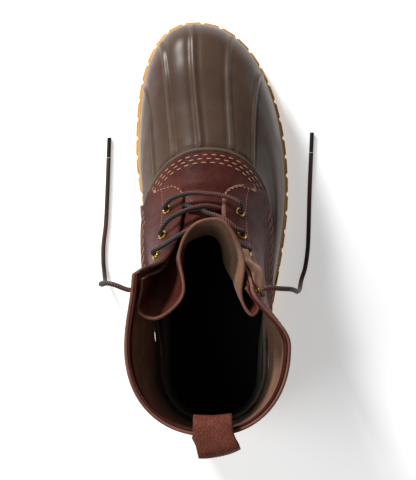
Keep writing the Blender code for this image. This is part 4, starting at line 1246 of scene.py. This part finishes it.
def lining_points():
    grid = []
    for station in even_stations(LINE, 200 // COARSE):
        column = shell_column(station)
        line = column.length_at(LINE)
        # On the outer side the lining stops lower, and its top edge lies against the leather.
        top = line + mix(LINING_IN, LINING_OUT, smooth(-station / 1.5) * smooth((3.0 + station) / 0.8))
        grid.append(column.spread(0.0, top, LINING_ROWS))
    grid = np.array(grid)
    rise = np.array([smooth((k - LINING_ROWS + 6) / 5) for k in range(LINING_ROWS)])
    return lifted(grid, normals_of(grid), mix(-(SHELL_IN + 0.12), 1.3, rise))[::-1]


place_piece("bootee_lining", bent_grid(lining_points(), closed=True), [BOOTEE])
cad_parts["insole"].data.materials[0] = BOOTEE


# %% Gum sole
SOLE_SPREAD = (1.027, 1.010, 1.0)
SOLE_MIDDLE = (-0.003, 0.112, 0)
SOLE_BEVEL = 0.0003


def make_gum_sole():
    """The sole's solid, let out a little so that the chain shows all round, with softened edges."""
    bm = bmesh.new()
    bm.from_mesh(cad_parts["outsole"].data)
    bmesh.ops.remove_doubles(bm, verts=bm.verts, dist=1e-5)
    about = Matrix.Translation([-value for value in SOLE_MIDDLE])
    bmesh.ops.scale(bm, vec=SOLE_SPREAD, space=about, verts=bm.verts)
    bmesh.ops.dissolve_limit(bm, angle_limit=math.radians(1), verts=bm.verts, edges=bm.edges)
    sharp = [edge for edge in bm.edges if edge.is_manifold and edge.calc_face_angle(0) > math.radians(50)]
    bmesh.ops.bevel(bm, geom=sharp, affect="EDGES", offset=SOLE_BEVEL, segments=1, profile=0.5, material=-1)
    return place_piece("gum_sole", bm, [GUM], ["outsole"], 35)


sole = make_gum_sole()
print("sole faces:", len(sole.data.polygons))


# %% [markdown]
# ## Eyelets
# Brass rings, spun from a rolled profile and set square to the leather. A dark disc in each hole is painted
# shade.

# %% One ring
RING_SEGMENTS = 24
ROLL_HEIGHT = 0.9


def make_ring():
    """A rolled ring that lies flat, with a dark disc of painted shade in its hole, in millimetres."""
    ring = bmesh.new()
    hole, rim = EYELET_HOLE / 2, EYELET_WIDTH / 2
    middle, roll = (hole + rim) / 2, (rim - hole) / 2
    turns = [math.pi * k / 6 for k in range(7)]
    profile = [(middle + roll * math.cos(a), 0.3 + ROLL_HEIGHT * math.sin(a)) for a in turns]
    verts = [ring.verts.new((r, 0, z)) for r, z in ((rim, -0.1), *profile, (hole, -0.1))]
    edges = [ring.edges.new(pair) for pair in zip(verts, verts[1:])]
    bmesh.ops.spin(
        ring, geom=edges, cent=(0, 0, 0), axis=(0, 0, 1), angle=2 * math.pi, steps=RING_SEGMENTS,
        use_merge=True,
    )
    bmesh.ops.remove_doubles(ring, verts=ring.verts, dist=1e-4)
    bmesh.ops.recalc_face_normals(ring, faces=ring.faces)
    before = set(ring.faces)
    in_hole = Matrix.Translation((0, 0, 0.12))
    bmesh.ops.create_circle(ring, cap_ends=True, segments=RING_SEGMENTS, radius=hole + 0.2, matrix=in_hole)
    for face in set(ring.faces) - before:
        face.material_index = 1
    return ring


# %% Eyelets
def make_eyelets():
    # The holes' near-black disc is painted shade.
    dark, _, shader, _ = new_material("painted shade in the holes", 0.9)
    shader.inputs["Base Color"].default_value = colour(14, 10, 9)
    bm = bmesh.new()
    for side in (1, -1):
        for number in range(EYELETS_A_SIDE):
            point, normal = beside_throat(side, EYELET_INSET, up_throat(side, number))
            seat = point + normal * QUARTER_FACE
            turn = Vector((0, 0, 1)).rotation_difference(Vector(normal)).to_matrix().to_4x4()
            ring = make_ring()
            place = Matrix.Translation(Vector(seat) * MM) @ turn @ Matrix.Scale(MM, 4)
            bmesh.ops.transform(ring, matrix=place, verts=ring.verts)
            made = bpy.data.meshes.new("ring")
            ring.to_mesh(made)
            ring.free()
            bm.from_mesh(made)
            bpy.data.meshes.remove(made)
    nodes = [f"eyelet_{word}_{k + 1}" for word in ("inner", "outer") for k in range(EYELETS_A_SIDE)]
    return place_piece("brass_eyelets", bm, [BRASS, dark], nodes, 50)


eyelets = make_eyelets()

# %% [markdown]
# ## Lacing
# Two bars cross the throat, the upper one mostly hidden by the tongue's top. Between them two strands cross.
# The lace goes down through each ring, so each strand starts inside the hole.

# %% Lacing
def lacing_route(side, number):
    """The lace from inside a ring's hole, under its disc of painted shade, over its rim."""
    on_leather = QUARTER_FACE + TRIM_GAP
    over_ring = on_leather + EYELET_HEIGHT + LACE_WIDTH / 2 + TRIM_GAP
    route = []
    for inset, lift in (
        (EYELET_INSET, QUARTER_FACE - 0.5),
        (EYELET_INSET, mix(on_leather, over_ring, 0.6)),
        (EYELET_INSET * 0.93, over_ring),
    ):
        point, normal = beside_throat(side, inset, up_throat(side, number))
        route.append(point + normal * lift)
    return route


for name, number, route in (("lace_lower_bar", 0, BAR_ROUTE), ("lace_back_bar", 2, UPPER_BAR_ROUTE)):
    path = [*lacing_route(1, number), *route_points(route), *reversed(lacing_route(-1, number))]
    node = "lace_bar" if number == 0 else "lace_upper_bar"
    make_cord(name, smooth_curve(path, 100), LACE_WIDTH, BRAID, [node])
# Each strand comes out from under the edge of the other quarter.
UNDER_EDGE = {1: (0.105, 0.525, 0.487), -1: (-0.205, 0.545, 0.487)}
for word, side, route in (("inner", 1, STRAND_ROUTE_IN), ("outer", -1, STRAND_ROUTE_OUT)):
    path = [*lacing_route(side, 1), *route_points(route), *route_points([UNDER_EDGE[side]])]
    replaced = ["lace_crossing"] if side > 0 else []
    make_cord(f"lace_strand_{word}", smooth_curve(path, 90), LACE_WIDTH, BRAID, replaced)


# %% [markdown]
# ## Stitches
# Thick pinkish thread holds the leather to the rubber in three rows that follow the bead. A finer row runs
# along each facing, another one along the front edge of each quarter, and short bars of thread lock its
# ends.

# %% Stitch maker
# A thread's thickness, and the length and the pitch of its stitches
Thread = namedtuple("Thread", "thick long pitch")
SEAM_THREAD = Thread(0.95, 4.4, 6.4)
FACING_THREAD = Thread(0.5, 1.3, 2.4)
FRONT_THREAD = Thread(0.7, 2.8, 3.9)
BAR_THREAD = Thread(0.8, 5.0, 5.4)
COLLAR_THREAD = Thread(0.55, 2.2, 3.3)


def add_stitches(bm, places, facings, thick, long, pitch):
    """Stitches along a line: one small capsule for each pitch, turned along the line and sunk a little."""
    places, facings = np.array(places), np.array(facings)
    steps = np.linalg.norm(np.diff(places, axis=0), axis=1)
    run = np.concatenate([[0.0], np.cumsum(steps)])

    def at(distance, values):
        return Vector([np.interp(distance, run, values[:, k]) for k in range(3)])

    for middle in np.arange(pitch / 2, run[-1] - long / 2, pitch):
        start, here, end = (at(middle + s * long / 2, places) for s in (-1, 0, 1))
        up = at(middle, facings).normalized()
        forward = (end - start).normalized()
        side = up.cross(forward).normalized()
        up = forward.cross(side)
        turn = Matrix((side, forward, up)).transposed().to_4x4()
        size = Matrix.Diagonal((thick / 2, long / 2, thick * 0.42, 1))
        matrix = Matrix.Scale(MM, 4) @ Matrix.Translation(here + up * thick * 0.08) @ turn @ size
        bmesh.ops.create_uvsphere(bm, u_segments=6, v_segments=5, radius=1.0, matrix=matrix)


def line_on(columns, height, face):
    """Points and facings on the leather, some way above the start of each column."""
    grid = np.array([[c.at(s + height - 1.0), c.at(s + height), c.at(s + height + 1.0)] for c, s in columns])
    normals = normals_of(grid)[:, 1]
    return grid[:, 1] + normals * (face - crease_depth(grid)[:, 1:2]), normals


# %% Three rows along the rubber
ROWS_ABOVE = (3.0, 6.2, 9.4)
VAMP_ROWS_FROM, FLANK_ROWS_TO = 136.0, 132.0


def vamp_columns():
    columns = []
    for station in np.linspace(VAMP_END, -VAMP_END, 110):
        column = vamp_column(station)
        line = column.length_at(LINE) + 1.0
        if column.at(line)[1] > VAMP_ROWS_FROM:
            columns.append((column, line))
    return columns


def add_rows(bm):
    front = vamp_columns()
    for row, height in enumerate(ROWS_ABOVE):
        add_stitches(bm, *line_on(front[row:len(front) - row], height, SEAM_GAP + LEATHER), *SEAM_THREAD)
        flank = [(c, s) for c, s in SHEET if c.at(s)[1] < FLANK_ROWS_TO and s < c.length_at(LINE) + 1.2]
        add_stitches(bm, *line_on(flank, height, QUARTER_FACE), *SEAM_THREAD)


# %% Rows of the quarters
def add_facing_rows(bm, side):
    """A fine row behind the eyelets, and one just behind the quarter's front edge."""
    count = len(FINE_INSETS)
    sheet = outer_quarter[:count] if side < 0 else inner_quarter[count - 1::-1]
    behind = round(0.71 * (count - 1))
    behind = behind if side < 0 else count - 1 - behind
    column, start = sheet[behind]
    heights = np.arange(start + 1.0, column.lengths[-1] - 3.0, 2.0)
    grid = np.array([[c.at(h) for h in heights] for c, _ in sheet[behind - 1:behind + 2]])
    normals = normals_of(grid)[1]
    places = grid[1] + normals * (QUARTER_FACE - crease_depth(grid)[1][:, None])
    add_stitches(bm, places, normals, *FACING_THREAD)
    front = [pair for pair in sheet if pair[1] > pair[0].length_at(LINE) + 1.5]
    add_stitches(bm, *line_on(front[1:-1], 2.6, QUARTER_FACE), *FRONT_THREAD)
    # The bar of thread stands where the front edge meets the rubber.
    last = front[-6:] if side < 0 else front[:6]
    for height in (1.2, 2.2, 3.2):
        add_stitches(bm, *line_on(last, height, QUARTER_FACE), *BAR_THREAD)


# %% Collar rows
def add_collar_row(bm):
    columns = [(c, c.lengths[-1]) for c, _ in SHEET[3:-3]]
    add_stitches(bm, *line_on(columns, -HEM_WIDTH + 1.6, QUARTER_FACE), *COLLAR_THREAD)


def make_stitches():
    bm = bmesh.new()
    add_rows(bm)
    for side in (1, -1):
        add_facing_rows(bm, side)
    add_collar_row(bm)
    return place_piece("stitches", bm, [THREAD], (), 80)


stitches = make_stitches()
print("stitch faces:", len(stitches.data.polygons))


# %% [markdown]
# ## The turned-over facing
# Near the top the outer facing is crumpled and rolled outwards, so its flesh side shows over the upper
# eyelets.

# %% Crumpled flap
FLAP_BOTTOM, FLAP_TOP = 141.0, 186.0


def flap_points():
    across, up = 24 // COARSE, 40 // COARSE
    grid = []
    for a in np.linspace(0, 1, across):
        column = []
        for b in np.linspace(0, 1, up):
            inset = mix(0.4, mix(11.0, 16.0, b), a)
            point, normal = skin_place(-1, inset, mix(FLAP_BOTTOM, FLAP_TOP, b) - 6.0 * a * (1 - b))
            gape = 4.2 * (1 - smooth(b / 0.3)) * math.sin(math.pi * mix(0.15, 0.95, a))
            lumps = 0.8 * math.sin(9.0 * b + 4.0 * a) + 0.6 * math.sin(15.0 * b - 6.0 * a)
            lumps += 0.5 * math.sin(11.0 * a)
            edge = min(1.0, 6 * a, 6 * (1 - a), 5 * (1 - b) + 0.1)
            column.append(point + normal * (QUARTER_FACE + 1.7 + gape + edge * (1.1 + 0.7 * lumps)))
        grid.append(column)
    return np.array(grid)


make_sheet("turned_facing", flap_points(), (FLESH_SIDE, LEATHER_FACE, RAW_EDGE), wall=1.5)


# %% [markdown]
# ## Floor
# The floor is a plain pale sheet. It is not part of the boot.

# %% Floor
def make_floor():
    material, tree, shader, _ = new_material("pale studio floor", 0.9)
    shader.inputs["Base Color"].default_value = (0.95, 0.95, 0.95, 1)
    shader.inputs["Emission Color"].default_value = (1, 1, 1, 1)
    shader.inputs["Emission Strength"].default_value = 0.4
    bm = bmesh.new()
    bmesh.ops.create_grid(bm, x_segments=1, y_segments=1, size=3.0)
    bmesh.ops.translate(bm, vec=(0, 0, -0.0005), verts=bm.verts)
    mesh = bpy.data.meshes.new("studio floor")
    bm.to_mesh(mesh)
    bm.free()
    mesh.materials.append(material)
    add_object("studio_floor", mesh)


make_floor()
